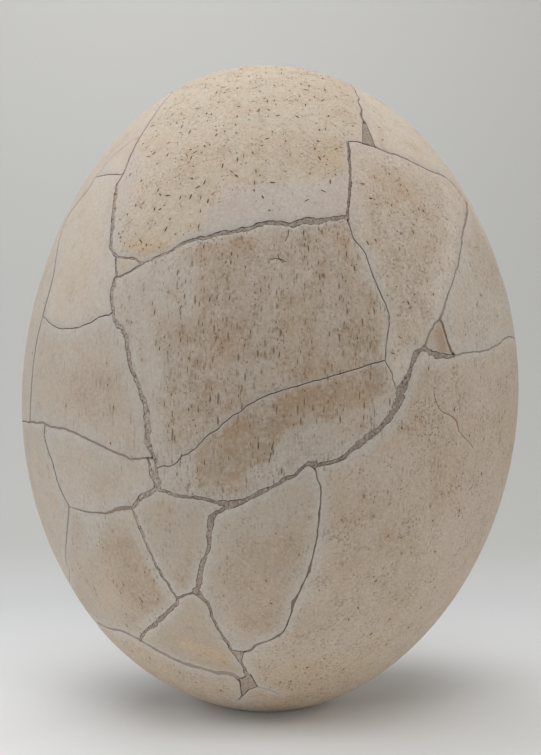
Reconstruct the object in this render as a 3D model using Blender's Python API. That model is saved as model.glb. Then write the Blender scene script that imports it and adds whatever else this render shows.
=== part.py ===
"""An elephant bird egg, put together again from its shards.

The shell grew as one piece, so it is one solid. Each joint between two shards is a groove in it, and
the wide joints hold the mender's filler, which is a second solid. The egg stands on a small flat
spot at its lower pole.

The frame is in metres, +Z up the long axis and the front towards -Y. The origin is level with the
flat spot, under the middle of the egg's greatest width. Longitude is 0 at the front and grows
towards +X.
"""
from math import ceil, cos, hypot, pi, radians, sin, sqrt

import bmesh
import bpy
from mathutils import Vector
from mathutils.geometry import delaunay_2d_cdt

# The egg, from pole to pole before the flat spot takes the lower one off
EGG_LENGTH = 0.300
HALF_WIDTH = 0.11475
FULLNESS = (-0.0238, -0.0259, 0.0253)
SWAY = 0.00304
SWAY_MIDDLE = 0.61
SWAY_AT_WIDEST = 0.00176
FLAT_DEPTH = 0.0025

# The reference view that the front's joints are read from: 541 x 755 pixels
EYE_DISTANCE = 0.590
EYE_ABOVE_MIDDLE = 0.002
EYE_DROP = radians(-0.278)
FOCAL_PIXELS = 1250.0
AXIS_PIXEL = 270.1
MIDDLE_PIXEL = 377.5
SIGHT_SPAN = 1.2 * HALF_WIDTH
SIGHT_STEPS = 300

# Joints
HAIRLINE = 0.0010
THIN = 0.0017
FILLED = 0.0026
WIDE = 0.0034
HAIRLINE_DEPTH = 0.0006
FILLED_DEPTH = 0.0018
FILLER_SINK = 0.0004
CLEARANCE = 0.0003
FLOOR_CLEARANCE = 0.0004
END_OVERLAP = 0.6  # of half the joint's width

# Facets
HAIRLINE_STEP = 0.0115
FILLED_STEP = 0.0095
SKIN_SPACING = 0.0145
RIM_SIDES = 28
COLLAR_HEIGHTS = (0.0035, 0.0095)
MARK_TO_JOINT = 0.55 * SKIN_SPACING
SHARP_ANGLE = radians(35)

SHELL_COLOUR = (0.46, 0.38, 0.29, 1.0)
FILLER_COLOUR = (0.29, 0.24, 0.20, 1.0)

HALF_LENGTH = EGG_LENGTH / 2
MIDDLE_HEIGHT = HALF_LENGTH - FLAT_DEPTH

# Joints on the front, as pixels of the reference view, each from one junction to the next
CROWN_LEFT = [(171, 95), (149, 122), (139, 137), (129, 158), (123, 173), (116, 185)]
CROWN_LEFT_LOW = [(116, 185), (114.5, 208), (112, 233), (111, 247), (116, 257)]
CROWN_FOOT = [(144, 263), (158, 256), (182, 244), (201, 237), (217, 233), (250, 228),
              (269, 222), (295, 224), (308, 220), (329, 219), (347, 217)]
CROWN_RIGHT = [(347, 217), (350, 199), (350.5, 178), (349.5, 141)]
CROWN_TOP = [(364, 122), (360, 101), (355, 93)]
CROWN_WEDGE = [(348, 141), (376.5, 147), (364.6, 119)]
SHOULDER_LEFT = [(139, 137), (119, 151), (99, 173), (64, 224), (54, 273), (43, 316)]
SHOULDER_TICK = [(123, 173), (96, 177)]
LEFT_EDGE = [(43, 316), (36, 346), (31, 393), (30, 422)]
LEFT_ARC = [(113.5, 311), (92, 322), (66, 328.5), (43, 316)]
CHIP_LEFT_TOP = [(116, 257), (133, 258.5), (144, 263)]
CHIP_LEFT_FOOT = [(117, 278), (134, 269), (144, 263)]
CHIP_LEFT_SIDE = [(116, 257), (117, 278)]
SHOULDER_RIGHT = [(374, 145), (389, 153), (419, 166), (447, 178), (466, 199)]
RIGHT_RIM = [(466, 199), (477, 222), (494, 255), (506, 290)]
RIGHT_DOWN = [(466, 199), (467, 210), (462, 236), (456, 271), (440, 319)]
CHIP_RIGHT_LEFT = [(440, 319), (429.5, 333), (424, 349)]
CHIP_RIGHT_RIGHT = [(440, 319), (446, 336), (454, 356)]
CHIP_RIGHT_FOOT = [(424, 349), (435, 356), (454, 356)]
RIGHT_OUT = [(454, 356), (487, 350), (510, 337)]
CENTRE_RIGHT = [(347, 217), (354, 238), (367, 258), (380, 291), (389, 315), (387, 338), (385, 360)]
CENTRE_RIGHT_LOW = [(385, 360), (391, 372), (399, 394)]
CENTRE_CRACK = [(156, 470), (182, 456), (208, 435), (233, 415), (262, 397.5), (294, 387),
                (350, 371), (385, 360)]
RIGHT_SWEEP = [(424, 349), (415.5, 355), (409, 375), (400, 396), (383.5, 424), (354, 447),
               (335, 461), (308, 464)]
MIDDLE_FOOT = [(157, 489), (183, 496), (224, 503), (242, 501), (270, 488), (293, 476.5), (308, 464)]
MAIN_LEFT_TOP = [(117, 278), (112, 294), (113.5, 311)]
MAIN_LEFT = [(113.5, 311), (119, 325), (126, 336), (129, 359), (138, 383), (145, 407),
             (148, 441), (153.5, 456), (156, 470), (157, 489)]
LEFT_LOW = [(30, 422), (55, 428), (89, 439.5), (125, 455.5), (153.5, 458)]
LEFT_DROP = [(45, 426), (48, 450), (62, 493), (70, 507)]
LEFT_FOOT = [(70, 507), (66, 538), (65.5, 563), (69, 576)]
LEFT_CROSS = [(70, 507), (89, 512), (107, 513.5), (133, 508.5)]
LEFT_RISE = [(133, 508.5), (144, 496), (157, 489)]
LOWER_LEFT = [(133, 508.5), (141, 530), (152, 556), (166, 581), (177, 598)]
LOWER_MIDDLE = [(224, 503), (211, 519), (209.5, 547), (202, 566), (196, 591)]
LOWER_LINK = [(196, 591), (187, 594.5), (177, 598)]
LOWER_TAIL = [(177, 598), (161, 619), (141, 638)]
LOWER_RUN = [(196, 591), (209, 605), (217, 627), (231.5, 650), (244, 668), (249, 685)]
LOWER_RIGHT = [(308, 464), (315, 469), (320.5, 497), (315.5, 543), (304, 580), (290.5, 614),
               (278, 636), (257, 645), (232, 652)]
LONG_FOOT = [(97.5, 622), (123, 631), (141, 638), (166, 654), (201, 668), (231.5, 674), (243, 681)]
FOOT_PATCH = [(239, 679), (242, 697), (249, 690), (258, 687), (251, 674)]
FOOT_LEFT = [(243, 691), (238, 700)]
FOOT_RIGHT = [(255, 685), (268, 690), (279, 692)]

# Joints round the back, as (longitude in degrees, height in millimetres)
CROWN_BACK_LEFT = [(-110, 276), (-128, 260), (-150, 246), (-175, 240), (165, 246)]
CROWN_BACK_RIGHT = [(95, 279), (118, 270), (142, 255), (165, 246)]
BACK_SHOULDER = [(165, 246), (170, 222), (162, 200)]
BACK_RIGHT_HIGH = [(98, 190), (118, 201), (142, 206), (162, 200)]
BACK_RIGHT_LOW = [(100, 163), (120, 148), (138, 128), (150, 104)]
BACK_MIDDLE = [(162, 200), (158, 168), (166, 140)]
BACK_LEFT_MIDDLE = [(-104, 127), (-125, 136), (-146, 126), (-170, 134), (166, 140)]
BACK_LEFT_HIGH = [(-150, 246), (-138, 215), (-142, 186), (-132, 160), (-125, 136)]
BACK_CROSS = [(-142, 186), (-165, 193), (178, 187), (162, 200)]
BACK_LEFT_DROP = [(-146, 126), (-151, 98), (-140, 66)]
BACK_LEFT_FOOT = [(-102, 69), (-122, 60), (-140, 66)]
BACK_FOOT = [(-140, 66), (-160, 52), (178, 58), (160, 76), (150, 104)]
BACK_DROP = [(166, 140), (160, 120), (150, 104)]
BACK_LONG_FOOT = [(-102, 35), (-125, 28), (-148, 34), (-160, 52)]
BACK_RIGHT_FOOT = [(160, 76), (136, 60), (112, 44), (96, 26), (78, 14)]


def level_radius(level):
    """The egg's radius at a level from -1 at the lower pole to 1 at the upper one."""
    first, second, third = FULLNESS
    swell = 1 + first * level + second * level ** 2 + third * level ** 3
    return HALF_WIDTH * swell * sqrt(max(0.0, 1 - level * level))


def middle_line(level):
    """How far the egg's middle line stands to +X at a level, because its sides differ a little."""
    return SWAY * (1 - level * level) * (level + SWAY_MIDDLE) - SWAY_AT_WIDEST


def on_egg(way):
    """The point of the egg's skin that lies along a unit direction."""
    first, second, third = FULLNESS
    width = HALF_WIDTH * (1 + first * way.z + second * way.z ** 2 + third * way.z ** 3)
    return Vector((middle_line(way.z) + width * way.x, width * way.y,
                   MIDDLE_HEIGHT + HALF_LENGTH * way.z))


def way_to(point):
    """The unit direction of a point on or near the egg's skin."""
    level = (point.z - MIDDLE_HEIGHT) / HALF_LENGTH
    first, second, third = FULLNESS
    width = HALF_WIDTH * (1 + first * level + second * level ** 2 + third * level ** 3)
    return Vector(((point.x - middle_line(level)) / width, point.y / width, level)).normalized()


def outward(way):
    """The skin's normal along a unit direction."""
    small = 0.0001
    side = way.orthogonal().normalized()
    other = way.cross(side)
    here = on_egg(way)
    across = on_egg((way + side * small).normalized()) - here
    along = on_egg((way + other * small).normalized()) - here
    return across.cross(along).normalized()


def seen(pixel):
    """The direction of the skin point that a pixel of the reference view shows."""
    right = (pixel[0] - AXIS_PIXEL) / FOCAL_PIXELS
    up = (MIDDLE_PIXEL - pixel[1]) / FOCAL_PIXELS
    sight = Vector((right, cos(EYE_DROP) + up * sin(EYE_DROP), up * cos(EYE_DROP) - sin(EYE_DROP)))
    eye = Vector((0.0, -EYE_DISTANCE, MIDDLE_HEIGHT + EYE_ABOVE_MIDDLE))
    best = None
    for step in range(SIGHT_STEPS):
        point = eye + sight * (EYE_DISTANCE - SIGHT_SPAN * (1 - step / SIGHT_STEPS))
        level = (point.z - MIDDLE_HEIGHT) / HALF_LENGTH
        outside = hypot(point.x - middle_line(level), point.y) - level_radius(level)
        if best is None or outside < best[0]:
            best = (outside, point)
        if outside < 0:
            break
    return way_to(best[1])


def placed(mark):
    """The direction of a mark given as longitude in degrees and height in millimetres."""
    level = (mark[1] / 1000 - MIDDLE_HEIGHT) / HALF_LENGTH
    ring = sqrt(1 - level * level)
    return Vector((ring * sin(radians(mark[0])), -ring * cos(radians(mark[0])), level))


def smooth_route(ways, step):
    """Skin points about a step apart on a smooth curve through the marks."""
    marks = [on_egg(way) for way in ways]
    marks = [marks[0] * 2 - marks[1]] + marks + [marks[-1] * 2 - marks[-2]]
    points = []
    for before, start, end, after in zip(marks, marks[1:], marks[2:], marks[3:]):
        count = max(1, ceil((end - start).length / step - 0.35))
        for part in range(count):
            t = part / count
            curve = (start * 2 + (end - before) * t
                     + (before * 2 - start * 5 + end * 4 - after) * t * t
                     + (start * 3 - before - end * 3 + after) * t ** 3) / 2
            points.append(on_egg(way_to(curve)))
    points.append(on_egg(way_to(marks[-2])))
    return points


class Joint:
    """One joint between two shards: where it runs, how wide it is and whether it holds filler."""

    def __init__(self, width, front=(), back=()):
        ways = [seen(pixel) for pixel in front] + [placed(mark) for mark in back]
        self.width = width
        self.filled = width > HAIRLINE
        self.depth = FILLED_DEPTH if self.filled else HAIRLINE_DEPTH
        self.points = smooth_route(ways, FILLED_STEP if self.filled else HAIRLINE_STEP)

    def edges(self, margin):
        """The two sides of the joint, each moved in by a margin, with short overlaps at its ends."""
        half = self.width / 2 - margin
        sides = []
        last = len(self.points) - 1
        for index, point in enumerate(self.points):
            onward = self.points[min(index + 1, last)] - self.points[max(index - 1, 0)]
            onward.normalize()
            aside = outward(way_to(point)).cross(onward).normalized() * half
            if index == 0:
                point = point - onward * half * END_OVERLAP
            if index == last:
                point = point + onward * half * END_OVERLAP
            sides.append((way_to(point + aside), way_to(point - aside)))
        return sides


class Patch:
    """A small filled area between shards. Its corners run anticlockwise, seen from outside."""

    filled = True
    depth = FILLED_DEPTH

    def __init__(self, corners):
        self.corners = [on_egg(seen(pixel)) for pixel in corners]

    def outline(self, margin):
        """The patch's corners, drawn in so that each side moves in by the margin or more."""
        centre = sum(self.corners, Vector()) / len(self.corners)
        reach = []
        for corner, following in zip(self.corners, self.corners[1:] + self.corners[:1]):
            side = (following - corner).normalized()
            reach.append((centre - corner).cross(side).length)
        scale = 1 - margin / min(reach)
        return [way_to(centre + (corner - centre) * scale) for corner in self.corners]


JOINTS = [
    Joint(HAIRLINE, CROWN_LEFT), Joint(THIN, CROWN_LEFT_LOW), Joint(WIDE, CROWN_FOOT),
    Joint(THIN, CROWN_RIGHT), Joint(HAIRLINE, CROWN_TOP, CROWN_BACK_RIGHT),
    Joint(HAIRLINE, CROWN_LEFT[:1], CROWN_BACK_LEFT), Joint(HAIRLINE, SHOULDER_LEFT),
    Joint(HAIRLINE, SHOULDER_TICK), Joint(HAIRLINE, LEFT_EDGE), Joint(HAIRLINE, LEFT_ARC),
    Joint(THIN, CHIP_LEFT_TOP), Joint(THIN, CHIP_LEFT_FOOT), Joint(THIN, CHIP_LEFT_SIDE),
    Joint(HAIRLINE, SHOULDER_RIGHT), Joint(HAIRLINE, RIGHT_RIM, BACK_RIGHT_HIGH),
    Joint(HAIRLINE, RIGHT_DOWN), Joint(HAIRLINE, CHIP_RIGHT_LEFT),
    Joint(HAIRLINE, CHIP_RIGHT_RIGHT), Joint(FILLED, CHIP_RIGHT_FOOT),
    Joint(HAIRLINE, RIGHT_OUT, BACK_RIGHT_LOW), Joint(HAIRLINE, CENTRE_RIGHT),
    Joint(HAIRLINE, CENTRE_RIGHT_LOW), Joint(HAIRLINE, CENTRE_CRACK), Joint(WIDE, RIGHT_SWEEP),
    Joint(FILLED, MIDDLE_FOOT), Joint(FILLED, MAIN_LEFT_TOP), Joint(FILLED, MAIN_LEFT),
    Joint(HAIRLINE, LEFT_LOW), Joint(HAIRLINE, [LEFT_LOW[0], (22, 422)], BACK_LEFT_MIDDLE),
    Joint(HAIRLINE, LEFT_DROP), Joint(HAIRLINE, LEFT_FOOT, BACK_LEFT_FOOT),
    Joint(HAIRLINE, LEFT_CROSS), Joint(WIDE, LEFT_RISE), Joint(THIN, LOWER_LEFT),
    Joint(FILLED, LOWER_MIDDLE), Joint(FILLED, LOWER_LINK), Joint(HAIRLINE, LOWER_TAIL),
    Joint(THIN, LOWER_RUN), Joint(HAIRLINE, LOWER_RIGHT), Joint(HAIRLINE, LONG_FOOT),
    Joint(HAIRLINE, LONG_FOOT[:1], BACK_LONG_FOOT), Joint(HAIRLINE, FOOT_LEFT),
    Joint(HAIRLINE, FOOT_RIGHT), Joint(HAIRLINE, (), BACK_SHOULDER),
    Joint(HAIRLINE, (), BACK_MIDDLE), Joint(HAIRLINE, (), BACK_LEFT_HIGH),
    Joint(HAIRLINE, (), BACK_CROSS), Joint(HAIRLINE, (), BACK_LEFT_DROP),
    Joint(HAIRLINE, (), BACK_FOOT), Joint(HAIRLINE, (), BACK_DROP),
    Joint(HAIRLINE, (), BACK_RIGHT_FOOT),
]
PATCHES = [Patch(CROWN_WEDGE), Patch(FOOT_PATCH)]


def flattened(way):
    """A direction on the plane of a stereographic map whose far point is the lower pole."""
    return Vector((way.x, way.y)) * 2 / (1 + way.z)


def raised(spot):
    """The direction of a spot of the stereographic map."""
    squared = spot.length_squared
    return Vector((4 * spot.x, 4 * spot.y, 4 - squared)) / (4 + squared)


def ring_at(height):
    """Evenly spaced directions round the skin at a height above the flat spot."""
    level = (height - MIDDLE_HEIGHT) / HALF_LENGTH
    ring = sqrt(1 - level * level)
    turns = [2 * pi * side / RIM_SIDES for side in range(RIM_SIDES)]
    return [Vector((ring * cos(turn), ring * sin(turn), level)) for turn in turns]


def skin_marks():
    """Evenly spread directions over the skin, away from every joint and from the flat spot's rim."""
    joint_points = [point for joint in JOINTS for point in joint.points]
    joint_points += [corner for patch in PATCHES for corner in patch.corners]
    area = 4 * pi * HALF_WIDTH * HALF_LENGTH
    count = int(area / SKIN_SPACING ** 2)
    golden = pi * (3 - sqrt(5))
    marks = [way for height in COLLAR_HEIGHTS for way in ring_at(height)]
    for index in range(count):
        level = 1 - 2 * (index + 0.5) / count
        ring = sqrt(1 - level * level)
        way = Vector((ring * cos(index * golden), ring * sin(index * golden), level))
        point = on_egg(way)
        if point.z < max(COLLAR_HEIGHTS) + SKIN_SPACING / 3:
            continue
        if min((point - other).length for other in joint_points) > MARK_TO_JOINT:
            marks.append(way)
    return marks


def triangulated(parts, margin, marks=(), rim=()):
    """Triangles over the skin with the joints' outlines as edges, and the parts each lies in."""
    spots = [flattened(way) for way in rim] + [flattened(way) for way in marks]
    rim_edges = [(index, (index + 1) % len(rim)) for index in range(len(rim))]
    faces = []
    owners = []
    for part in parts:
        if isinstance(part, Patch):
            outline = part.outline(margin)
            faces.append(list(range(len(spots), len(spots) + len(outline))))
            spots += [flattened(way) for way in outline]
            owners.append(part)
            continue
        sides = part.edges(margin)
        start = len(spots)
        for left, right in sides:
            spots += [flattened(left), flattened(right)]
        for index in range(len(sides) - 1):
            corner = start + 2 * index
            faces.append([corner, corner + 1, corner + 3, corner + 2])
            owners.append(part)
    found, _, triangles, _, _, sources = delaunay_2d_cdt(spots, rim_edges, faces, 0, 1e-6)
    inside = [[owners[source] for source in listed] for listed in sources]
    return [raised(spot) for spot in found], triangles, inside


def start_mesh(ways, triangles, kept):
    """A bmesh of the kept triangles on the skin, its corners marked with the joints' depths."""
    mesh = bmesh.new()
    depth_layer = mesh.verts.layers.float.new("depth")
    corners = {}
    joint_faces = []
    for triangle, owners in zip(triangles, kept):
        if owners is None:
            continue
        for index in triangle:
            if index not in corners:
                corners[index] = mesh.verts.new(on_egg(ways[index]))
            for owner in owners:
                corner = corners[index]
                corner[depth_layer] = max(corner[depth_layer], owner.depth)
        face = mesh.faces.new([corners[index] for index in triangle])
        if owners:
            joint_faces.append(face)
    bmesh.ops.recalc_face_normals(mesh, faces=mesh.faces)
    return mesh, depth_layer, joint_faces


def push_in(mesh, faces, depth_of):
    """Extrude faces and push their new corners into the egg."""
    result = bmesh.ops.extrude_face_region(mesh, geom=faces)
    for corner in (item for item in result["geom"] if isinstance(item, bmesh.types.BMVert)):
        corner.co -= outward(way_to(corner.co)) * depth_of(corner)


def colour_material(name, colour, roughness):
    """A plain Principled material."""
    material = bpy.data.materials.new(name)
    material.use_nodes = True
    shader = material.node_tree.nodes["Principled BSDF"]
    shader.inputs["Base Color"].default_value = colour
    shader.inputs["Roughness"].default_value = roughness
    shader.inputs["Metallic"].default_value = 0.0
    return material


def finished_object(name, mesh, material):
    """The object of a closed bmesh, shaded smooth with its sharp edges kept."""
    bmesh.ops.recalc_face_normals(mesh, faces=mesh.faces)
    data = bpy.data.meshes.new(name)
    mesh.to_mesh(data)
    mesh.free()
    data.shade_smooth()
    data.set_sharp_from_angle(angle=SHARP_ANGLE)
    data.materials.append(material)
    thing = bpy.data.objects.new(name, data)
    bpy.context.scene.collection.objects.link(thing)
    return thing


def make_eggshell():
    """The egg with a groove along each joint and a flat spot to stand on."""
    ways, triangles, inside = triangulated(JOINTS + PATCHES, 0.0, skin_marks(), ring_at(0.0))
    mesh, depth_layer, joint_faces = start_mesh(ways, triangles, inside)
    bmesh.ops.contextual_create(mesh, geom=[edge for edge in mesh.edges if edge.is_boundary])
    bmesh.ops.recalc_face_normals(mesh, faces=mesh.faces)
    push_in(mesh, joint_faces, lambda corner: corner[depth_layer])
    bmesh.ops.delete(mesh, geom=joint_faces, context="FACES")
    finished_object("eggshell", mesh, colour_material("Aged shell", SHELL_COLOUR, 0.75))


def make_filler():
    """The mender's filler, lying in the filled joints with a small clearance all round."""
    filled = [part for part in JOINTS + PATCHES if part.filled]
    ways, triangles, inside = triangulated(filled, CLEARANCE)
    mesh, _, _ = start_mesh(ways, triangles, [owners or None for owners in inside])
    for corner in mesh.verts:
        corner.co -= outward(way_to(corner.co)) * FILLER_SINK
    thickness = FILLED_DEPTH - FILLER_SINK - FLOOR_CLEARANCE
    push_in(mesh, list(mesh.faces), lambda corner: thickness)
    finished_object("seam_filler", mesh, colour_material("Mender's filler", FILLER_COLOUR, 0.95))


for old in list(bpy.data.objects):
    bpy.data.objects.remove(old)
make_eggshell()
make_filler()
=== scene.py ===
from math import ceil, cos, hypot, log, pi, radians, sin, sqrt
from random import Random

import bmesh
import bpy
import numpy as np
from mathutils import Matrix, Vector, noise
from mathutils.geometry import delaunay_2d_cdt
from mathutils.kdtree import KDTree


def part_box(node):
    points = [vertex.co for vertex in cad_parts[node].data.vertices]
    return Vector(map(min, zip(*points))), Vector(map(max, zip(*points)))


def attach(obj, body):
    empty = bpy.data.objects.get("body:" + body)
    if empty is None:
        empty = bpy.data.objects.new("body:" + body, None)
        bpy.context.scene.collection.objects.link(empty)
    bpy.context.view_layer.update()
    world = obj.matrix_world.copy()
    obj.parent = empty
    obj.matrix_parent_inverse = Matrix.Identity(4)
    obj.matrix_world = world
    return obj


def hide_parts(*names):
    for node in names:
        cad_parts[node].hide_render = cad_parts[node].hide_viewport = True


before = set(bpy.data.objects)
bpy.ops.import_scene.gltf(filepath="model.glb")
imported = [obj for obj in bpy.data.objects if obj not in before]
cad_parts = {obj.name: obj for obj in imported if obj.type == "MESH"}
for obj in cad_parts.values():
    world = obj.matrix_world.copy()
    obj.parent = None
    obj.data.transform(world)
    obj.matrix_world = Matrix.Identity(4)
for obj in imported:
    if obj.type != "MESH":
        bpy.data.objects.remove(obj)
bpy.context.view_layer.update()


# The eggshell.
# A bird's egg grown as one piece of calcite, about 3.6 mm thick. It was found in shards, which were
# set edge to edge and glued, so each shard keeps its own stains and its own slight step.

# The egg's form, from the frame's own size
egg_low, egg_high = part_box("eggshell")
FLAT_DEPTH = 0.0025
HALF_LENGTH = (egg_high.z + FLAT_DEPTH) / 2
HALF_WIDTH = (egg_high.y - egg_low.y) / 2
MIDDLE_HEIGHT = HALF_LENGTH - FLAT_DEPTH
FULLNESS = (-0.0238, -0.0259, 0.0253)
SWAY = 0.00304
SWAY_MIDDLE = 0.61
SWAY_AT_WIDEST = 0.00176

# The reference view that marks on the front are read from, 541 x 755 pixels
EYE_DISTANCE = 0.590
EYE_ABOVE_MIDDLE = 0.002
EYE_DROP = radians(-0.278)
FOCAL_PIXELS = 1250.0
AXIS_PIXEL = 270.1
MIDDLE_PIXEL = 377.5
SIGHT_SPAN = 1.2 * HALF_WIDTH
SIGHT_STEPS = 300


def swelling(level):
    """How far the egg's width departs from an ellipse at a level from -1 to 1."""
    first, second, third = FULLNESS
    return HALF_WIDTH * (1 + first * level + second * level ** 2 + third * level ** 3)


def middle_line(level):
    """How far the egg's middle line stands to +X at a level."""
    return SWAY * (1 - level * level) * (level + SWAY_MIDDLE) - SWAY_AT_WIDEST


def on_egg(way):
    """The point of the smooth skin along a unit direction."""
    width = swelling(way.z)
    return Vector((middle_line(way.z) + width * way.x, width * way.y,
                   MIDDLE_HEIGHT + HALF_LENGTH * way.z))


def way_to(point):
    """The unit direction of a point on or near the skin."""
    level = (point.z - MIDDLE_HEIGHT) / HALF_LENGTH
    width = swelling(level)
    return Vector(((point.x - middle_line(level)) / width, point.y / width, level)).normalized()


def outward(way):
    """The skin's normal along a unit direction."""
    small = 0.0001
    side = way.orthogonal().normalized()
    other = way.cross(side)
    here = on_egg(way)
    across = on_egg((way + side * small).normalized()) - here
    along = on_egg((way + other * small).normalized()) - here
    return across.cross(along).normalized()


def seen(x, y):
    """The direction of the skin point that a pixel of the reference view shows."""
    right = (x - AXIS_PIXEL) / FOCAL_PIXELS
    up = (MIDDLE_PIXEL - y) / FOCAL_PIXELS
    sight = Vector((right, cos(EYE_DROP) + up * sin(EYE_DROP), up * cos(EYE_DROP) - sin(EYE_DROP)))
    eye = Vector((0.0, -EYE_DISTANCE, MIDDLE_HEIGHT + EYE_ABOVE_MIDDLE))
    best = None
    for step in range(SIGHT_STEPS):
        point = eye + sight * (EYE_DISTANCE - SIGHT_SPAN * (1 - step / SIGHT_STEPS))
        level = (point.z - MIDDLE_HEIGHT) / HALF_LENGTH
        ring = swelling(level) * sqrt(max(0.0, 1 - level * level))
        outside = hypot(point.x - middle_line(level), point.y) - ring
        if best is None or outside < best[0]:
            best = (outside, point)
        if outside < 0:
            break
    return way_to(best[1])


def level_way(level, turn):
    """The unit direction at a level from -1 to 1 and a turn in radians."""
    ring = sqrt(1 - level * level)
    return Vector((ring * cos(turn), ring * sin(turn), level))


def placed(longitude, height):
    """The direction of a mark given as longitude in degrees and height in millimetres."""
    level = (height / 1000 - MIDDLE_HEIGHT) / HALF_LENGTH
    ring = sqrt(1 - level * level)
    turn = radians(longitude)
    return Vector((ring * sin(turn), -ring * cos(turn), level))


def flattened(way):
    """A direction's spot on a flat map of the skin whose far point is the lower pole."""
    return Vector((way.x, way.y)) * 2 / (1 + way.z)


def raised(spot):
    """The direction of a spot of the map."""
    squared = spot.length_squared
    return Vector((4 * spot.x, 4 * spot.y, 4 - squared)) / (4 + squared)


def is_convex(ways):
    """Whether directions turn anticlockwise all the way round, seen from outside."""
    spots = [flattened(way) for way in ways]
    runs = [spots[(index + 1) % len(spots)] - spot for index, spot in enumerate(spots)]
    return all(runs[index - 1].cross(run) > 0 for index, run in enumerate(runs))


# Joints between the shards, each a smooth curve through its marks. Front marks are pixels of the
# reference view, with the joint's width in millimetres there as a third number where it changes;
# back marks are longitude in degrees and height in millimetres.
STATION_STEP = 0.0009
FILLED_STEP = 0.0006
HAIRLINE = 0.36
MIN_HALF = 0.00016
WANDER_LONG = 0.007
WANDER_LONG_BY = 0.00030
WANDER_SHORT = 0.0022
WANDER_SHORT_BY = 0.00030
SWELL_LENGTH = 0.0035
SWELL_SHARE = 0.45
RAGGED_LENGTH = 0.0011
RAGGED_SHARE = 0.30
FILLED_RAGGED = 0.48
END_OVERLAP = 0.6
LEAST_HALF = 0.00008
JOINT_DEPTH = 0.0015
DUSTY_DEPTH = 0.00030
GAP_VARIES = 1.2
GAP_LENGTH = 0.0035
GAP_LEAST = 0.3
# The noise that moves marks about starts from a fixed seed, so that each run gives the same egg.
NOISE_SEED = 5
noise.seed_set(NOISE_SEED)


class Joint:
    """A joint's stations: a middle point, the way across it, and its half width on either side.

    Its width is in millimetres, its depth in metres, and its look names what lies in it.
    """

    def __init__(self, width, front=(), back=(), filled=False, depth=None, look="dust"):
        ways = [seen(mark[0], mark[1]) for mark in front] + [placed(*mark) for mark in back]
        widths = [mark[2] if len(mark) > 2 else width for mark in front] + [width] * len(back)
        self.filled = filled
        self.depth = depth or (JOINT_DEPTH if filled else DUSTY_DEPTH)
        self.look = look
        self.stations = []
        marks = [on_egg(way) for way in ways]
        marks = [marks[0] * 2 - marks[1]] + marks + [marks[-1] * 2 - marks[-2]]
        points = []
        for index in range(len(ways) - 1):
            before, start, end, after = marks[index:index + 4]
            count = max(1, ceil((end - start).length / (FILLED_STEP if filled else STATION_STEP)))
            for part in range(count):
                t = part / count
                curve = (start * 2 + (end - before) * t
                         + (before * 2 - start * 5 + end * 4 - after) * t * t
                         + (start * 3 - before - end * 3 + after) * t ** 3) / 2
                points.append((curve, widths[index] * (1 - t) + widths[index + 1] * t))
        points.append((marks[-2], widths[-1]))
        middles = [on_egg(way_to(self.wandered(point))) for point, _ in points]
        last = len(points) - 1
        for index, middle in enumerate(middles):
            onward = (middles[min(index + 1, last)] - middles[max(index - 1, 0)]).normalized()
            aside = outward(way_to(middle)).cross(onward).normalized()
            half = points[index][1] / 2000
            if index == 0:
                middle = middle - onward * half * END_OVERLAP
            if index == last:
                middle = middle + onward * half * END_OVERLAP
            self.stations.append((middle, aside, self.ragged(middle, half, 0.0),
                                  self.ragged(middle, half, 9.0)))

    @staticmethod
    def wandered(point):
        """A mark moved a little, so that a joint is not drawn with a ruler."""
        wide = noise.noise_vector(point / WANDER_LONG) * WANDER_LONG_BY
        return point + wide + noise.noise_vector(point / WANDER_SHORT) * WANDER_SHORT_BY

    def ragged(self, point, half, side):
        """The half width on one side, swelling and chipped along the broken edge."""
        shift = Vector((side, side, side))
        swell = 1 + SWELL_SHARE * noise.noise(point / SWELL_LENGTH + shift)
        share = FILLED_RAGGED if self.filled else RAGGED_SHARE
        chip = share * noise.noise(point / RAGGED_LENGTH + shift * 2)
        return max(MIN_HALF, half * (swell + chip))

    def outline(self, margin):
        """Convex quads along the joint, each side moved in by a margin; folds are skipped over."""
        quads = []
        starts = [self.side_ways(self.stations[0], margin)]
        for station in self.stations[1:]:
            after = self.side_ways(station, margin)
            while starts:
                quad = [starts[-1][0], starts[-1][1], after[1], after[0]]
                if is_convex(quad):
                    quads.append(quad)
                    starts.append(after)
                    break
                if station is not self.stations[-1] or len(starts) == 1:
                    break
                starts.pop()
                quads.pop()
        return quads

    @staticmethod
    def side_ways(station, margin):
        """The directions of a station's left and right side."""
        middle, aside, left, right = station
        margin *= max(GAP_LEAST, 1 + GAP_VARIES * noise.noise(middle / GAP_LENGTH))
        return (way_to(middle + aside * max(LEAST_HALF, left - margin)),
                way_to(middle - aside * max(LEAST_HALF, right - margin)))


class Patch:
    """A closed outline on the skin, its corners anticlockwise seen from outside."""

    def __init__(self, corners, depth, filled=False, look="dust"):
        self.corners = corners
        self.depth = depth
        self.filled = filled
        self.look = look

    def outline(self, margin):
        """The one polygon of the patch, each side moved in by the margin or more."""
        centre = sum(self.corners, Vector()) / len(self.corners)
        reach = min((centre - corner).cross((following - corner).normalized()).length
                    for corner, following in zip(self.corners, self.corners[1:] + self.corners[:1]))
        scale = 1 - margin / reach
        return [[way_to(centre + (corner - centre) * scale) for corner in self.corners]]


class Pore(Patch):
    """A small pit in the skin that holds dirt."""

    def __init__(self, corners, depth):
        super().__init__(corners, depth, look="pore")


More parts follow.
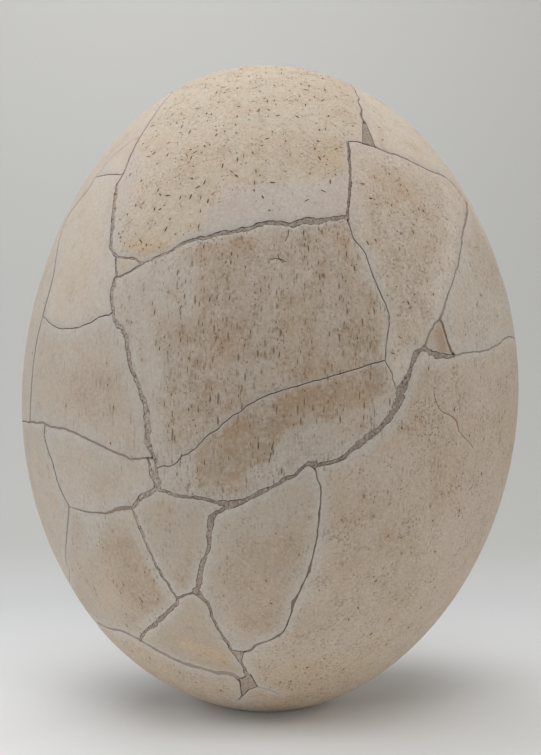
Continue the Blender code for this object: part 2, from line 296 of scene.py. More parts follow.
CROWN_LEFT_START = (173, 92)
LONG_FOOT_START = (97.5, 622)
LEFT_LOW_START = (30, 422)
joints = [
    # Round the crown
    Joint(0.50, [CROWN_LEFT_START, (159, 108), (149, 122), (139, 137), (129, 158), (123, 173),
                 (116, 185)], depth=0.0001, look="soft"),
    Joint(HAIRLINE, [CROWN_LEFT_START],
          [(-110, 276), (-128, 260), (-150, 246), (-175, 240), (165, 246)]),
    Joint(1.7, [(116, 185, 1.0), (115, 197, 1.7), (112, 233), (111, 247, 1.6), (116, 257, 1.2)],
          filled=True),
    Joint(2.0, [(144, 263, 0.9), (150, 260, 1.0), (158, 256, 1.2), (170, 252, 1.1), (182, 244, 1.5),
                (192, 240.5, 1.7), (201, 237.5, 1.7), (209, 237, 1.8), (217, 233.5, 1.9),
                (227, 232.5, 2.0), (239, 230.5, 2.1), (250, 228, 1.8), (258, 225, 1.9),
                (269, 222.5, 2.0), (278, 223, 1.9), (288, 224, 2.1), (295, 224, 2.1),
                (302, 221.5, 2.3), (310, 220.5, 3.0), (318, 221, 2.9), (329, 219, 2.1),
                (338, 217.5, 2.2), (347, 217, 2.4)], filled=True),
    Joint(1.2, [(347, 217), (349, 199), (350.5, 178), (349.5, 157), (348, 142, 1.1)], filled=True),
    Joint(0.7, [(348, 142, 1.0), (356, 141.2), (363, 143.5, 1.0)]),
    Joint(0.45, [(364.5, 122, 1.3), (361.5, 115, 1.1), (361.8, 109, 0.9), (358.5, 102, 0.6),
                 (359, 98), (355.5, 92)],
          [(78, 288.5), (100, 287), (122, 277), (146, 259), (165, 246)]),
    # The left shoulder and its chip
    Joint(0.30, [(139, 137, 0.5), (134, 139), (119, 151), (111, 158), (99, 173), (94, 179),
                 (86, 192), (64, 224), (54, 273), (43, 316)], depth=0.0001, look="soft"),
    Joint(0.40, [(123, 173), (119, 174.5), (96, 177)]),
    Joint(0.26, [(43, 316), (36, 346), (31, 393), LEFT_LOW_START], depth=0.00012, look="soft"),
    Joint(0.50, [(113.5, 311, 0.9), (110, 315), (101, 317), (92, 322), (83.5, 325.5),
                 (76.5, 328, 0.4), (66, 328.5, 0.36), (55, 327, 0.36), (43, 316, 0.3)],
          depth=0.0004),
    Joint(0.9, [(116, 257), (125, 258), (133, 258.5), (139, 262), (144, 263)], filled=True),
    Joint(0.9, [(117, 278), (126, 274), (134, 269), (139, 265.5), (144, 263)], filled=True),
    Joint(1.0, [(116, 257), (116, 267), (117, 278)], filled=True),
    # The right shoulder and its chip
    Joint(1.30, [(375, 146.5, 1.6), (381, 149.5, 1.5), (389, 153), (403, 158, 1.3), (419, 166),
                 (433, 172), (444.5, 176.5, 1.4), (450, 181, 1.7), (454.4, 185.6, 2.0),
                 (458.5, 190.8, 2.2), (462, 195.5, 2.2), (466, 201, 2.2)],
          depth=0.00018, look="soft"),
    Joint(0.28, [(466, 201, 1.6), (470, 209, 1.7), (477, 222, 1.7), (486.5, 241, 1.6),
                 (493.5, 255, 1.2), (506, 290, 0.5)],
          [(98, 190), (118, 201), (142, 206), (162, 200)], depth=0.00008),
    Joint(0.90, [(466, 201, 2.2), (467, 210, 1.8), (465, 224, 1.3), (462, 236, 1.1), (461, 248),
                 (458, 267), (456, 271, 0.8), (451, 286, 0.7), (445, 304, 0.9), (440, 319, 1.3)],
          depth=0.0002, look="soft"),
    Joint(0.9, [(440, 319), (436, 323), (429.5, 333), (425, 345), (424, 349)], look="soft"),
    Joint(1.3, [(440, 319), (441, 321), (446, 336), (450, 349), (454, 356)], depth=0.0003),
    Joint(2.6, [(424, 349, 2.4), (430, 352.5), (437, 355), (445, 356, 2.0), (454, 356, 1.0)],
          filled=True),
    Joint(0.65, [(454, 356), (465, 353), (479, 352), (487, 350), (497, 346), (510, 337)],
          [(100, 163), (120, 148), (138, 128), (150, 104)], depth=0.00015, look="soft"),
    # The two middle shards
    Joint(0.46, [(347, 217, 0.8), (351, 230), (354, 238), (361, 247), (367, 258), (373, 275),
                (380, 291), (386, 306), (389, 315), (389, 324), (387, 338), (385.5, 352),
                (385, 360)], depth=0.00045),
    Joint(0.5, [(385, 360), (386, 363), (391, 372), (392.5, 380), (398, 393)], depth=0.0006),
    Joint(0.36, [(156, 469), (163, 466), (171, 466), (178, 462), (182, 456), (189, 453),
                 (197, 447, 0.32), (208, 435, 0.32), (218, 429, 0.32), (227, 420), (233, 415),
                 (241, 412), (247, 406), (257, 400), (262, 397.5), (278, 392), (294, 387),
                 (313, 381), (329, 377), (350, 371), (368, 365), (385, 360)], depth=0.0008),
    Joint(0.3, [(181.5, 454), (181, 460), (180.5, 467)]),
    Joint(2.4, [(425, 346.5, 1.3), (421, 350, 1.7), (417, 353, 2.3), (414.5, 358, 2.5),
                (412, 365, 1.9), (409, 374, 1.9), (404.5, 383, 3.0), (400.5, 393, 4.2),
                (397, 403, 3.6), (391, 415, 3.3), (383.5, 424, 2.2), (379, 429, 2.6),
                (366, 438, 3.0), (360, 443, 3.1), (354, 447, 2.0), (344, 456, 1.7),
                (335, 461, 1.4), (322, 464, 1.5), (315, 465, 2.8), (308, 464, 1.6)], filled=True),
    Joint(1.5, [(157, 489, 1.4), (163, 491, 1.2), (174, 495, 1.5), (183, 496, 1.2),
                (196, 497.5, 1.5), (208, 500, 1.4), (216.5, 502, 1.6), (224, 503.5, 2.6),
                (229, 505.5, 3.9), (234, 504, 3.0), (242, 501, 1.9), (251, 497, 1.5),
                (261, 492, 2.1), (270, 488, 1.2), (279, 483, 1.4), (284, 480, 2.4),
                (293, 476.5, 1.3), (299, 472, 1.2), (308, 464, 1.2)], filled=True),
    # Down the left
    Joint(1.7, [(117, 278, 1.1), (115, 279.5), (113, 287), (111.5, 294), (112, 301), (113, 309)],
          filled=True),
    Joint(2.2, [(113, 309, 1.5), (115, 318, 1.6), (119, 325, 1.9), (123, 329, 2.0),
                (126, 336, 1.9), (128, 348, 1.7), (129, 359, 1.9), (132, 370, 1.6),
                (138, 383, 1.7), (142, 396, 1.8), (145, 407, 2.3), (147, 419, 2.7),
                (148, 431, 2.7), (148, 441, 2.5), (151.5, 451, 1.8), (154.5, 459, 1.1),
                (157, 468, 1.0), (157.5, 475, 1.8), (157, 482, 3.0), (157, 489, 2.4)],
          filled=True),
    Joint(1.2, [(148, 459.5, 0.8), (151, 468, 1.2), (154, 477, 2.0), (156, 482, 1.6)],
          filled=True),
    Joint(0.95, [LEFT_LOW_START, (42, 423), (47, 425), (55, 428), (65, 429), (76, 433),
                 (89, 439.5), (102, 446), (115, 452), (125, 455.5), (132, 459), (145, 458),
                 (154, 458)], depth=0.0002, look="soft"),
    Joint(0.5, [LEFT_LOW_START, (22, 422)],
          [(-104, 127), (-125, 136), (-146, 126), (-170, 134), (166, 140)]),
    Joint(0.90, [(45, 426), (44.5, 436), (48, 450), (53, 464), (57, 479), (62, 493), (69, 506)],
          depth=0.0002),
    Joint(0.40, [(69, 506, 0.8), (68, 521, 0.8), (66.3, 538, 0.7), (65.3, 550, 0.5), (66, 563),
                 (69, 576)], [(-104, 50), (-122, 50), (-140, 66)], depth=0.00012, look="soft"),
    Joint(0.60, [(69, 506), (72.5, 508), (80.5, 510)], look="red"),
    Joint(0.90, [(80, 510), (89, 512), (99, 513), (107, 513.5), (115, 510, 1.3),
                 (125, 508, 1.9), (133, 508.5, 1.6)], look="soft"),
    Joint(1.8, [(133, 508.5, 1.0), (138, 502, 1.9), (144, 496, 2.4), (152, 491, 1.6),
                (157, 489, 1.8)], filled=True),
    # The lower shards
    Joint(1.5, [(133, 508.5, 1.2), (136, 517), (141, 530, 1.6), (145, 542), (152, 556, 1.2),
                (158, 568), (166, 581, 1.6), (177, 598, 1.1)], filled=True),
    Joint(2.0, [(228, 507, 2.0), (222, 510, 1.4), (216.5, 513, 1.5), (211, 519, 2.9),
                (210, 528, 2.4), (209.5, 538, 2.2), (209.5, 547, 1.6), (206, 555, 1.3),
                (202, 566, 2.1), (200, 577, 2.3), (198, 588, 1.7), (195.5, 591, 2.0)],
          filled=True),
    Joint(1.0, [(196, 591), (187, 594.5), (177, 598)], filled=True),
    Joint(1.4, [(177, 598, 1.1), (177.5, 604, 1.7), (168, 612, 1.5), (161, 619, 1.8),
                (155, 625, 1.7), (147, 630, 1.3), (141.5, 636, 1.4), (140.5, 641, 1.0)],
          filled=True),
    Joint(1.4, [(195.5, 591, 2.2), (199, 594, 3.0), (203, 598, 2.0), (209, 605, 1.2),
                (212, 616, 1.0), (217, 627, 1.2), (223.5, 638, 1.4), (231.5, 650, 1.1),
                (237, 657, 1.2), (244, 668, 1.4), (249, 681, 2.2)], filled=True),
    Joint(0.5, [(308, 464, 1.2), (315, 469), (317, 478), (320.5, 487), (320.5, 497),
                (319, 515, 0.9), (318, 528), (315.5, 543), (312, 559), (310.5, 566, 0.9),
                (309.5, 571, 1.2), (306, 577), (297, 597, 0.8), (294, 602, 1.9), (292, 609, 0.9),
                (290.5, 614), (286, 627), (282.5, 633, 0.8), (278, 636, 1.5), (273, 639, 0.8),
                (268, 641), (257, 645, 0.7), (249, 651, 0.9), (236, 653, 1.2)], depth=0.0004),
    Joint(1.1, [LONG_FOOT_START + (0.5,), (112, 629), (123, 631), (133, 636), (141, 640),
                (152, 646, 1.4), (166, 654, 2.0), (182, 662, 2.5), (201, 668, 2.5),
                (215.5, 672, 2.5), (231.5, 674, 2.6), (243, 682, 2.6)], depth=0.0002, look="soft"),
    Joint(HAIRLINE, [LONG_FOOT_START], [(-102, 35), (-125, 28), (-148, 34), (-160, 52)]),
    Joint(0.5, [(243, 691), (241, 697), (238, 700)]),
    Joint(0.32, [(255, 685), (259, 687), (268, 690), (279, 694, 0.3)]),
    # Round the back
    Joint(0.5, (), [(165, 246), (170, 222), (162, 200)]),
    Joint(HAIRLINE, (), [(162, 200), (158, 168), (166, 140)]),
    Joint(0.6, (), [(-150, 246), (-138, 215), (-142, 186), (-132, 160), (-125, 136)]),
    Joint(HAIRLINE, (), [(-142, 186), (-165, 193), (178, 187), (162, 200)]),
    Joint(0.5, (), [(-146, 126), (-151, 98), (-140, 66)]),
    Joint(0.7, (), [(-140, 66), (-160, 52), (178, 58), (160, 76), (150, 104)]),
    Joint(HAIRLINE, (), [(166, 140), (160, 120), (150, 104)]),
    Joint(HAIRLINE, (), [(160, 76), (136, 60), (112, 44), (96, 26), (78, 14)]),
]
filled_patches = [
    Patch([on_egg(seen(*corner)) for corner in corners], JOINT_DEPTH, filled=True)
    for corners in ([(362.5, 144), (376, 148), (372, 136), (366, 122), (362.8, 121)],
                    [(239, 679), (242, 697), (249, 690), (258, 687), (251, 674)],
                    [(241.5, 665), (244, 652), (231, 650)])]
red_crack = Joint(0.34, [(433, 391), (435, 402), (441, 411), (449, 415, 0.5), (455, 420, 0.8),
                         (457.5, 427, 0.7), (460, 433), (466, 440), (472, 447)],
                  depth=0.0002, look="red")
scratches = [Joint(0.28, marks, depth=0.00025, look="pore") for marks in (
    [(269, 258.7), (275, 258.5), (281, 260), (286, 262)],
    [(278, 254), (280, 260), (283, 263)],
    [(273.5, 441, 0.2), (272.5, 447), (271.5, 450, 0.2)],
    [(271, 453, 0.2), (270, 458), (269, 463, 0.2)],
    [(289.5, 230, 0.2), (288, 236), (286, 241, 0.2)])]
cracks = [red_crack] + scratches


# Shards. Each row: a mark inside the shard, its clean shell's colour, how far its cleaned margins
# reach in millimetres, how brown and how ochre it is all over, its larger pores per square
# centimetre, their usual length in millimetres, how upright they lie, and how far fine dashes and
# specks show.
SHARDS = {
    "crown": (seen(250, 150), "#D2C8BA", 3.0, 0.06, 0.34, 7.0, 1.3, 0.25, 0.20, 0.8),
    "crown wedge": (seen(120, 160), "#D2C8BB", 3.0, 0.0, 0.10, 0.4, 0.8, 0.5, 0.2, 0.2),
    "left shoulder": (seen(90, 250), "#CDC2B4", 6.0, 0.05, 0.12, 0.5, 0.9, 0.7, 0.3, 0.3),
    "far left": (placed(-95, 200), "#CEC3B6", 5.0, 0.05, 0.10, 0.5, 0.9, 0.7, 0.3, 0.3),
    "left middle": (seen(85, 380), "#CBBFB1", 6.0, 0.12, 0.05, 0.5, 0.9, 0.8, 0.4, 0.3),
    "left chip": (seen(124, 266), "#CBBCAA", 1.0, 0.15, 0.2, 0.0, 0.8, 0.5, 0.3, 0.3),
    "centre": (seen(250, 320), "#CCC2B6", 0.8, 0.06, 0.0, 12.0, 1.5, 0.95, 1.0, 0.8),
    "lower centre": (seen(270, 440), "#C8BFB4", 0.8, 0.10, 0.0, 11.0, 1.6, 0.95, 1.0, 0.8),
    "right centre": (seen(400, 260), "#D5CABD", 4.0, 0.08, 0.0, 6.0, 0.9, 0.4, 0.4, 1.0),
    "right shoulder": (seen(400, 137), "#D9CFC1", 4.0, 0.05, 0.08, 0.8, 0.9, 0.4, 0.3, 0.4),
    "right": (seen(475, 290), "#CBC2B5", 5.0, 0.06, 0.0, 4.0, 0.8, 0.5, 0.4, 0.8),
    "right chip": (seen(440, 345), "#A18C7B", 0.6, 0.45, 0.0, 0.0, 0.8, 0.5, 0.2, 0.4),
    "low right": (seen(420, 520), "#CABDAE", 5.0, 0.16, 0.02, 2.6, 0.8, 0.5, 0.4, 1.0),
    "low middle": (seen(255, 560), "#C2B7A9", 4.0, 0.08, 0.0, 2.2, 0.9, 0.6, 0.4, 0.6),
    "low left middle": (seen(180, 540), "#BEB3A5", 3.0, 0.08, 0.0, 0.5, 0.9, 0.6, 0.4, 0.4),
    "low left": (seen(110, 560), "#C0B4A4", 5.0, 0.08, 0.0, 1.8, 1.2, 0.9, 0.6, 0.4),
    "left low": (seen(100, 480), "#CBC0B2", 5.0, 0.06, 0.0, 0.5, 0.9, 0.7, 0.3, 0.3),
    "far left low": (seen(45, 490), "#CBC0B1", 5.0, 0.06, 0.08, 0.5, 0.9, 0.7, 0.3, 0.3),
    "foot": (seen(170, 680), "#D2C4B1", 3.0, 0.10, 0.25, 0.6, 0.9, 0.5, 0.4, 0.5),
    "low trapezoid": (seen(195, 635), "#BCB0A1", 2.5, 0.10, 0.0, 0.5, 0.9, 0.5, 0.3, 0.4),
    "high back": (placed(-165, 218), "#CFC3B3", 5.0, 0.15, 0.12, 1.4, 1.1, 0.6, 0.5, 0.5),
    "back": (placed(-160, 160), "#CABEAF", 5.0, 0.35, 0.05, 4.0, 1.7, 0.9, 0.9, 0.6),
    "right back": (placed(130, 175), "#CBC0B2", 5.0, 0.18, 0.0, 1.0, 0.9, 0.6, 0.5, 0.6),
    "left back": (placed(-120, 100), "#CABDAD", 5.0, 0.12, 0.1, 0.8, 0.9, 0.6, 0.4, 0.5),
    "low back": (placed(-170, 95), "#CBBFAF", 5.0, 0.20, 0.05, 1.2, 1.2, 0.8, 0.6, 0.5),
    "far left foot": (placed(-120, 45), "#CABFB1", 4.0, 0.1, 0.1, 0.6, 0.9, 0.5, 0.4, 0.5),
    "back foot": (placed(170, 20), "#CABCA9", 4.0, 0.12, 0.18, 0.6, 0.9, 0.5, 0.4, 0.5),
}
SHARD_NAMES = list(SHARDS)
OTHER_SHARD = ((0.0, 0.0, 1.0), "#CBBFB1", 4.0, 0.1, 0.05, 0.5, 0.9, 0.6, 0.4, 0.4)
SHARD_ROWS = list(SHARDS.values()) + [OTHER_SHARD]

# Stains, drawn round on the reference view: what they do, how strongly, how soft their edge is in
# pixels, and their outline.
STAINS = [
    ("pale", 0.75, 9, [(192, 236), (212, 208), (236, 192), (270, 185), (305, 186), (345, 176),
                       (349, 214), (300, 224), (250, 230), (217, 235)]),
    ("pale", 0.55, 6, [(114, 256), (110, 215), (116, 184), (134, 150), (141, 160), (136, 200),
                       (127, 225), (122, 254)]),
    ("ochre", -0.5, 9, [(192, 236), (212, 208), (236, 192), (270, 185), (305, 186), (345, 176),
                        (349, 214), (300, 224), (250, 230), (217, 235)]),
    ("brown", 0.35, 5, [(128, 256), (127, 248), (138, 242), (152, 243), (166, 245), (176, 242),
                        (170, 248), (158, 256), (144, 261)]),
    ("ochre", 0.60, 5, [(128, 256), (127, 246), (138, 238), (152, 240), (167, 242), (180, 238),
                        (172, 247), (158, 256), (144, 261)]),
    ("ochre", 0.40, 8, [(322, 152), (330, 140), (349, 138), (350, 168), (338, 173), (326, 168)]),
    ("brown", 0.30, 9, [(318, 152), (330, 140), (350, 134), (350, 170), (336, 176), (322, 170)]),
    ("brown", 0.15, 14, [(180, 150), (230, 130), (300, 125), (340, 140), (330, 172), (262, 176),
                         (220, 190), (180, 222), (160, 215)]),
    ("brown", 0.42, 5, [(172, 262), (190, 248), (215, 234), (262, 222), (300, 220), (346, 216),
                        (354, 246), (366, 272), (375, 298), (379, 326), (376, 352), (352, 376),
                        (300, 392), (262, 404), (240, 416), (222, 430), (205, 444), (184, 462),
                        (168, 462), (164, 430), (167, 400), (161, 372), (160, 340), (164, 310),
                        (163, 290)]),
    ("brown", -0.10, 12, [(292, 285), (312, 268), (345, 282), (352, 310), (332, 336), (302, 330)]),
    ("brown", -0.34, 8, [(160, 262), (178, 256), (196, 262), (196, 300), (184, 322), (166, 318)]),
    ("brown", 0.22, 8, [(348, 292), (370, 298), (377, 330), (372, 352), (354, 356), (346, 326)]),
    ("brown", 0.05, 10, [(200, 300), (240, 284), (270, 300), (262, 340), (220, 352), (196, 330)]),
    ("brown", 0.76, 4, [(190, 462), (202, 440), (230, 412), (260, 394), (290, 384), (335, 370),
                        (382, 358), (386, 388), (366, 402), (340, 412), (318, 420), (300, 427),
                        (285, 428), (278, 441), (270, 461), (246, 474), (219, 486), (199, 490),
                        (193, 478)]),
    ("brown", 0.42, 7, [(284, 300), (304, 292), (318, 304), (314, 328), (296, 334), (282, 320)]),
    ("ochre", 0.30, 7, [(284, 300), (304, 292), (318, 304), (314, 328), (296, 334), (282, 320)]),
    ("brown", 0.15, 8, [(350, 322), (374, 322), (384, 344), (372, 358), (346, 360)]),
    ("brown", 0.20, 7, [(246, 420), (262, 410), (280, 420), (274, 440), (252, 446)]),
    ("brown", -0.35, 6, [(290, 408), (318, 404), (322, 424), (300, 434), (286, 428)]),
    ("brown", 0.45, 6, [(222, 484), (248, 480), (262, 486), (246, 496), (222, 498)]),
    ("brown", 0.14, 8, [(285, 440), (318, 424), (345, 412), (352, 424), (330, 442), (290, 462)]),
    ("brown", 0.05, 9, [(116, 262), (150, 262), (163, 290), (160, 360), (166, 440), (158, 462),
                        (140, 400), (118, 330)]),
    ("speck", -0.45, 9, [(116, 268), (150, 262), (178, 262), (172, 300), (160, 360), (166, 440),
                         (158, 462), (140, 400), (118, 330)]),
    ("dash", -0.45, 7, [(116, 262), (150, 262), (163, 290), (160, 360), (166, 440), (158, 462),
                        (140, 400), (118, 330)]),
    ("brown", 0.28, 8, [(372, 168), (400, 172), (432, 184), (446, 204), (446, 236), (436, 268),
                        (424, 296), (404, 302), (392, 290), (384, 262), (372, 236), (362, 214),
                        (364, 186)]),
    ("brown", 0.36, 8, [(382, 286), (428, 298), (432, 322), (424, 345), (402, 362), (390, 340)]),
    ("ochre", 0.20, 10, [(372, 168), (410, 172), (436, 190), (420, 212), (384, 222), (362, 208)]),
    ("speck", 0.40, 8, [(372, 190), (400, 180), (440, 196), (446, 236), (430, 280), (404, 296),
                        (386, 262), (368, 224)]),
    ("brown", 0.22, 8, [(470, 226), (486, 240), (500, 272), (498, 296), (480, 300), (470, 262)]),
    ("speck", 0.60, 8, [(468, 232), (486, 244), (500, 276), (504, 306), (488, 330), (466, 322),
                        (462, 290), (462, 258)]),
    ("pale", 0.60, 3, [(428, 336), (436, 334), (437, 346), (433, 354), (424, 350)]),
    ("ochre", 0.30, 10, [(497, 400), (518, 396), (514, 450), (497, 505), (490, 470)]),
    ("ochre", 0.45, 12, [(258, 692), (262, 674), (300, 656), (345, 650), (392, 634), (385, 668),
                         (340, 692), (300, 706), (262, 708)]),
    ("brown", 0.25, 12, [(258, 700), (262, 682), (300, 668), (345, 660), (372, 660), (340, 692),
                         (300, 706), (262, 708)]),
    ("brown", 0.18, 12, [(396, 384), (430, 372), (476, 386), (470, 430), (440, 456), (404, 440)]),
    ("rust", 0.9, 5, [(410, 404), (424, 400), (440, 408), (446, 430), (434, 450), (418, 456),
                      (410, 440)]),
    ("brown", 0.20, 14, [(330, 500), (400, 480), (440, 560), (400, 610), (330, 610)]),
    ("brown", 0.22, 12, [(430, 430), (462, 428), (468, 470), (440, 520), (410, 516), (412, 470)]),
    ("brown", 0.32, 9, [(238, 618), (270, 610), (330, 604), (346, 622), (322, 640), (284, 634),
                        (252, 642)]),
    ("brown", 0.20, 9, [(84, 470), (116, 470), (120, 494), (90, 498)]),
    ("pale", 0.50, 6, [(78, 520), (98, 524), (100, 550), (84, 556)]),
    ("brown", 0.15, 7, [(112, 606), (146, 596), (170, 606), (146, 626), (120, 628)]),
    ("brown", 0.40, 9, [(222, 562), (240, 547), (275, 534), (300, 522), (312, 532), (304, 560),
                        (290, 595), (276, 615), (255, 628), (236, 618), (226, 598), (214, 590),
                        (212, 572)]),
    ("brown", 0.25, 7, [(172, 566), (186, 552), (198, 566), (194, 586), (180, 592)]),
    ("brown", 0.45, 8, [(102, 534), (130, 530), (148, 560), (164, 590), (172, 604), (152, 616),
                        (130, 602), (118, 582), (104, 562)]),
    ("dash", 0.80, 8, [(96, 530), (132, 528), (148, 560), (166, 596), (150, 612), (118, 590)]),
    ("ochre", 0.72, 4, [(172, 634), (192, 637), (212, 644), (228, 656), (234, 667), (222, 665),
                        (202, 656), (182, 648)]),
    ("brown", 0.52, 4, [(172, 634), (192, 637), (212, 644), (228, 656), (234, 667), (222, 665),
                        (202, 656), (182, 648)]),
    ("ochre", 0.35, 8, [(120, 645), (150, 652), (185, 672), (215, 682), (232, 690), (215, 700),
                        (180, 688), (150, 670)]),
    ("brown", 0.25, 12, [(60, 372), (90, 360), (118, 370), (128, 400), (118, 420), (90, 415),
                         (66, 402)]),
    ("ochre", 0.22, 9, [(62, 300), (60, 270), (72, 246), (88, 240), (96, 262), (84, 290),
                        (74, 306)]),
    ("rust", 0.45, 4, [(87, 482), (95, 484), (94, 491), (86, 491)]),
    ("rust", 0.45, 4, [(100, 512), (108, 512), (107, 519), (100, 519)]),
]
# Round the back: what, how strongly, and its middle and reach as longitude, height, radius in mm
BACK_STAINS = [
    ("brown", 0.45, -160, 168, 30), ("brown", 0.35, -178, 160, 24), ("brown", 0.30, 135, 178, 22),
    ("brown", 0.30, -172, 100, 26), ("ochre", 0.30, 165, 70, 20), ("ochre", 0.25, -120, 200, 22),
    ("brown", 0.25, 118, 120, 30), ("pale", 0.40, -140, 225, 18), ("brown", 0.20, -125, 95, 22),
    ("ochre", 0.35, 175, 30, 26), ("rust", 0.40, 140, 100, 8), ("brown", 0.25, 100, 80, 28),
]
WEAR_LAYERS = {"wear": ("brown", "ochre", "pale"), "marks": ("dash", "speck", "rust")}
STAIN_FADE = 0.020
BACK_STAIN_EDGE = 1.6
BLUR_LONG = 0.016
BLUR_LONG_BY = 0.0030
BLUR_SHORT = 0.0045
BLUR_SHORT_BY = 0.0013


def soft_step(values):
    """Values below 0 to 0 and above 1 to 1, with a soft rise between."""
    clipped = np.clip(values, 0.0, 1.0)
    return clipped * clipped * (3 - 2 * clipped)


def depth_inside(pixels, corners):
    """How far each pixel lies inside a closed outline, in pixels, less than 0 outside it."""
    inside = np.zeros(len(pixels), bool)
    nearest = np.full(len(pixels), 1e9)
    for start, end in zip(corners, corners[1:] + corners[:1]):
        start, end = np.array(start, float), np.array(end, float)
        run = end - start
        share = np.clip(((pixels - start) @ run) / (run @ run), 0, 1)
        nearest = np.minimum(nearest, np.linalg.norm(pixels - start - share[:, None] * run, axis=1))
        crosses = (start[1] > pixels[:, 1]) != (end[1] > pixels[:, 1])
        if run[1]:
            at = start[0] + run[0] * (pixels[:, 1] - start[1]) / run[1]
            inside ^= crosses & (pixels[:, 0] < at)
    return np.where(inside, nearest, -nearest)


def wear_at(points, shards):
    """For each skin point, how strongly each kind of wear shows, as one row per kind."""
    rows = {kind: np.zeros(len(points)) for kinds in WEAR_LAYERS.values() for kind in kinds}
    for column, kind in ((3, "brown"), (4, "ochre"), (8, "dash"), (9, "speck")):
        rows[kind] += np.array([row[column] for row in SHARD_ROWS])[shards]
    moved = np.array([noise.noise_vector(Vector(point) / BLUR_LONG) * BLUR_LONG_BY
                      + noise.noise_vector(Vector(point) / BLUR_SHORT) * BLUR_SHORT_BY
                      for point in points]) + points
    right, ahead = moved[:, 0], moved[:, 1] + EYE_DISTANCE
    above = moved[:, 2] - MIDDLE_HEIGHT - EYE_ABOVE_MIDDLE
    forward = ahead * cos(EYE_DROP) - above * sin(EYE_DROP)
    upward = above * cos(EYE_DROP) + ahead * sin(EYE_DROP)
    pixels = np.stack([AXIS_PIXEL + FOCAL_PIXELS * right / forward,
                       MIDDLE_PIXEL - FOCAL_PIXELS * upward / forward], axis=1)
    facing = soft_step(-points[:, 1] / STAIN_FADE + 0.5)
    for kind, strength, softness, corners in STAINS:
        amount = soft_step(depth_inside(pixels, corners) / (2 * softness) + 0.5)
        rows[kind] += strength * amount * facing
    for kind, strength, longitude, height, reach in BACK_STAINS:
        middle = np.array(on_egg(placed(longitude, height)))
        away = np.linalg.norm(moved - middle, axis=1) / (reach / 1000)
        rows[kind] += strength * soft_step(BACK_STAIN_EDGE - away)
    return rows


def triangulated(parts, margin, marks, rim=()):
    """Triangles over the skin with the parts' outlines as edges, and the part each lies in."""
    spots = [flattened(way) for way in rim] + [flattened(way) for way in marks]
    rim_edges = [(index, (index + 1) % len(rim)) for index in range(len(rim))]
    faces = []
    owners = []
    for part in parts:
        for outline in part.outline(margin):
            faces.append(list(range(len(spots), len(spots) + len(outline))))
            spots += [flattened(way) for way in outline]
            owners.append(part)
    found, _, triangles, _, _, sources = delaunay_2d_cdt(spots, rim_edges, faces, 0, 1e-7)
    inside = [owners[listed[0]] if listed else None for listed in sources]
    return [raised(spot) for spot in found], triangles, inside


def spread_marks(spacing, lowest):
    """Evenly spread directions over the skin above a height."""
    count = int(4 * pi * HALF_WIDTH * HALF_LENGTH / spacing ** 2)
    golden = pi * (3 - sqrt(5))
    for index in range(count):
        way = level_way(1 - 2 * (index + 0.5) / count, index * golden)
        if on_egg(way).z > lowest:
            yield way


def finder_of(numbered):
    """A finder of the nearest of some places, each given with its number."""
    finder = KDTree(len(numbered))
    for place, number in numbered:
        finder.insert(place, number)
    finder.balance()
    return finder


def middle_way(ways, corners):
    """The middle of a triangle's three directions."""
    return sum((ways[corner] for corner in corners), Vector()) / 3


def shard_numbers(ways, triangles, inside):
    """The shard each bare triangle belongs to, found by spreading out from the shards' marks."""
    beside = {}
    for number, corners in enumerate(triangles):
        if inside[number] is None:
            for side in range(3):
                edge = frozenset((corners[side], corners[side - 1]))
                beside.setdefault(edge, []).append(number)
    bare = finder_of([(middle_way(ways, triangles[number]), number)
                      for number, owner in enumerate(inside) if owner is None])
    shards = [None] * len(triangles)
    for shard, name in enumerate(SHARD_NAMES):
        reached = [bare.find(SHARDS[name][0])[1]]
        while reached:
            number = reached.pop()
            if shards[number] is not None:
                continue
            shards[number] = shard
            corners = triangles[number]
            for side in range(3):
                reached += [other for other in beside[frozenset((corners[side], corners[side - 1]))]
                            if shards[other] is None]
    return [len(SHARD_NAMES) if shard is None and owner is None else shard
            for shard, owner in zip(shards, inside)]


# The egg is cut into triangles twice: a rough cut tells which shard each place belongs to, so that
# the pores can be strewn, and the fine one makes the skin.
SKIN_SPACING = 0.0031
SKIN_TO_JOINT = 0.5 * SKIN_SPACING
SKIN_TO_PORE = 0.0004
SKIN_TO_COLLAR = 0.001
ROUGH_SPACING = 0.006
ROUGH_LOWEST = 0.010
RIM_SIDES = 96
COLLAR_HEIGHTS = (0.0009, 0.0026, 0.0050)
ROUNDING_WIDTH = 0.00050
ROUNDING_TO_JOINT = 0.6 * ROUNDING_WIDTH

stations = [station for joint in joints + cracks for station in joint.stations]
numbered = [(station[0], index) for index, station in enumerate(stations)]
every_place = finder_of(numbered)
joint_places = finder_of(numbered[:sum(len(joint.stations) for joint in joints)])


def joint_distance(point, finder=every_place):
    """How far a skin point is from the side of the nearest joint or crack."""
    _, index, away = finder.find(point)
    return away - max(stations[index][2], stations[index][3])


cut_parts = joints + filled_patches + cracks
rough_marks = [way for way in spread_marks(ROUGH_SPACING, ROUGH_LOWEST)
               if joint_distance(on_egg(way)) > ROUGH_SPACING / 2]
rough_ways, rough_triangles, rough_inside = triangulated(joints + filled_patches, 0, rough_marks)
rough_shards = shard_numbers(rough_ways, rough_triangles, rough_inside)
shard_finder = finder_of([(middle_way(rough_ways, corners), shard)
                          for corners, owner, shard in zip(rough_triangles, rough_inside,
                                                           rough_shards) if owner is None])

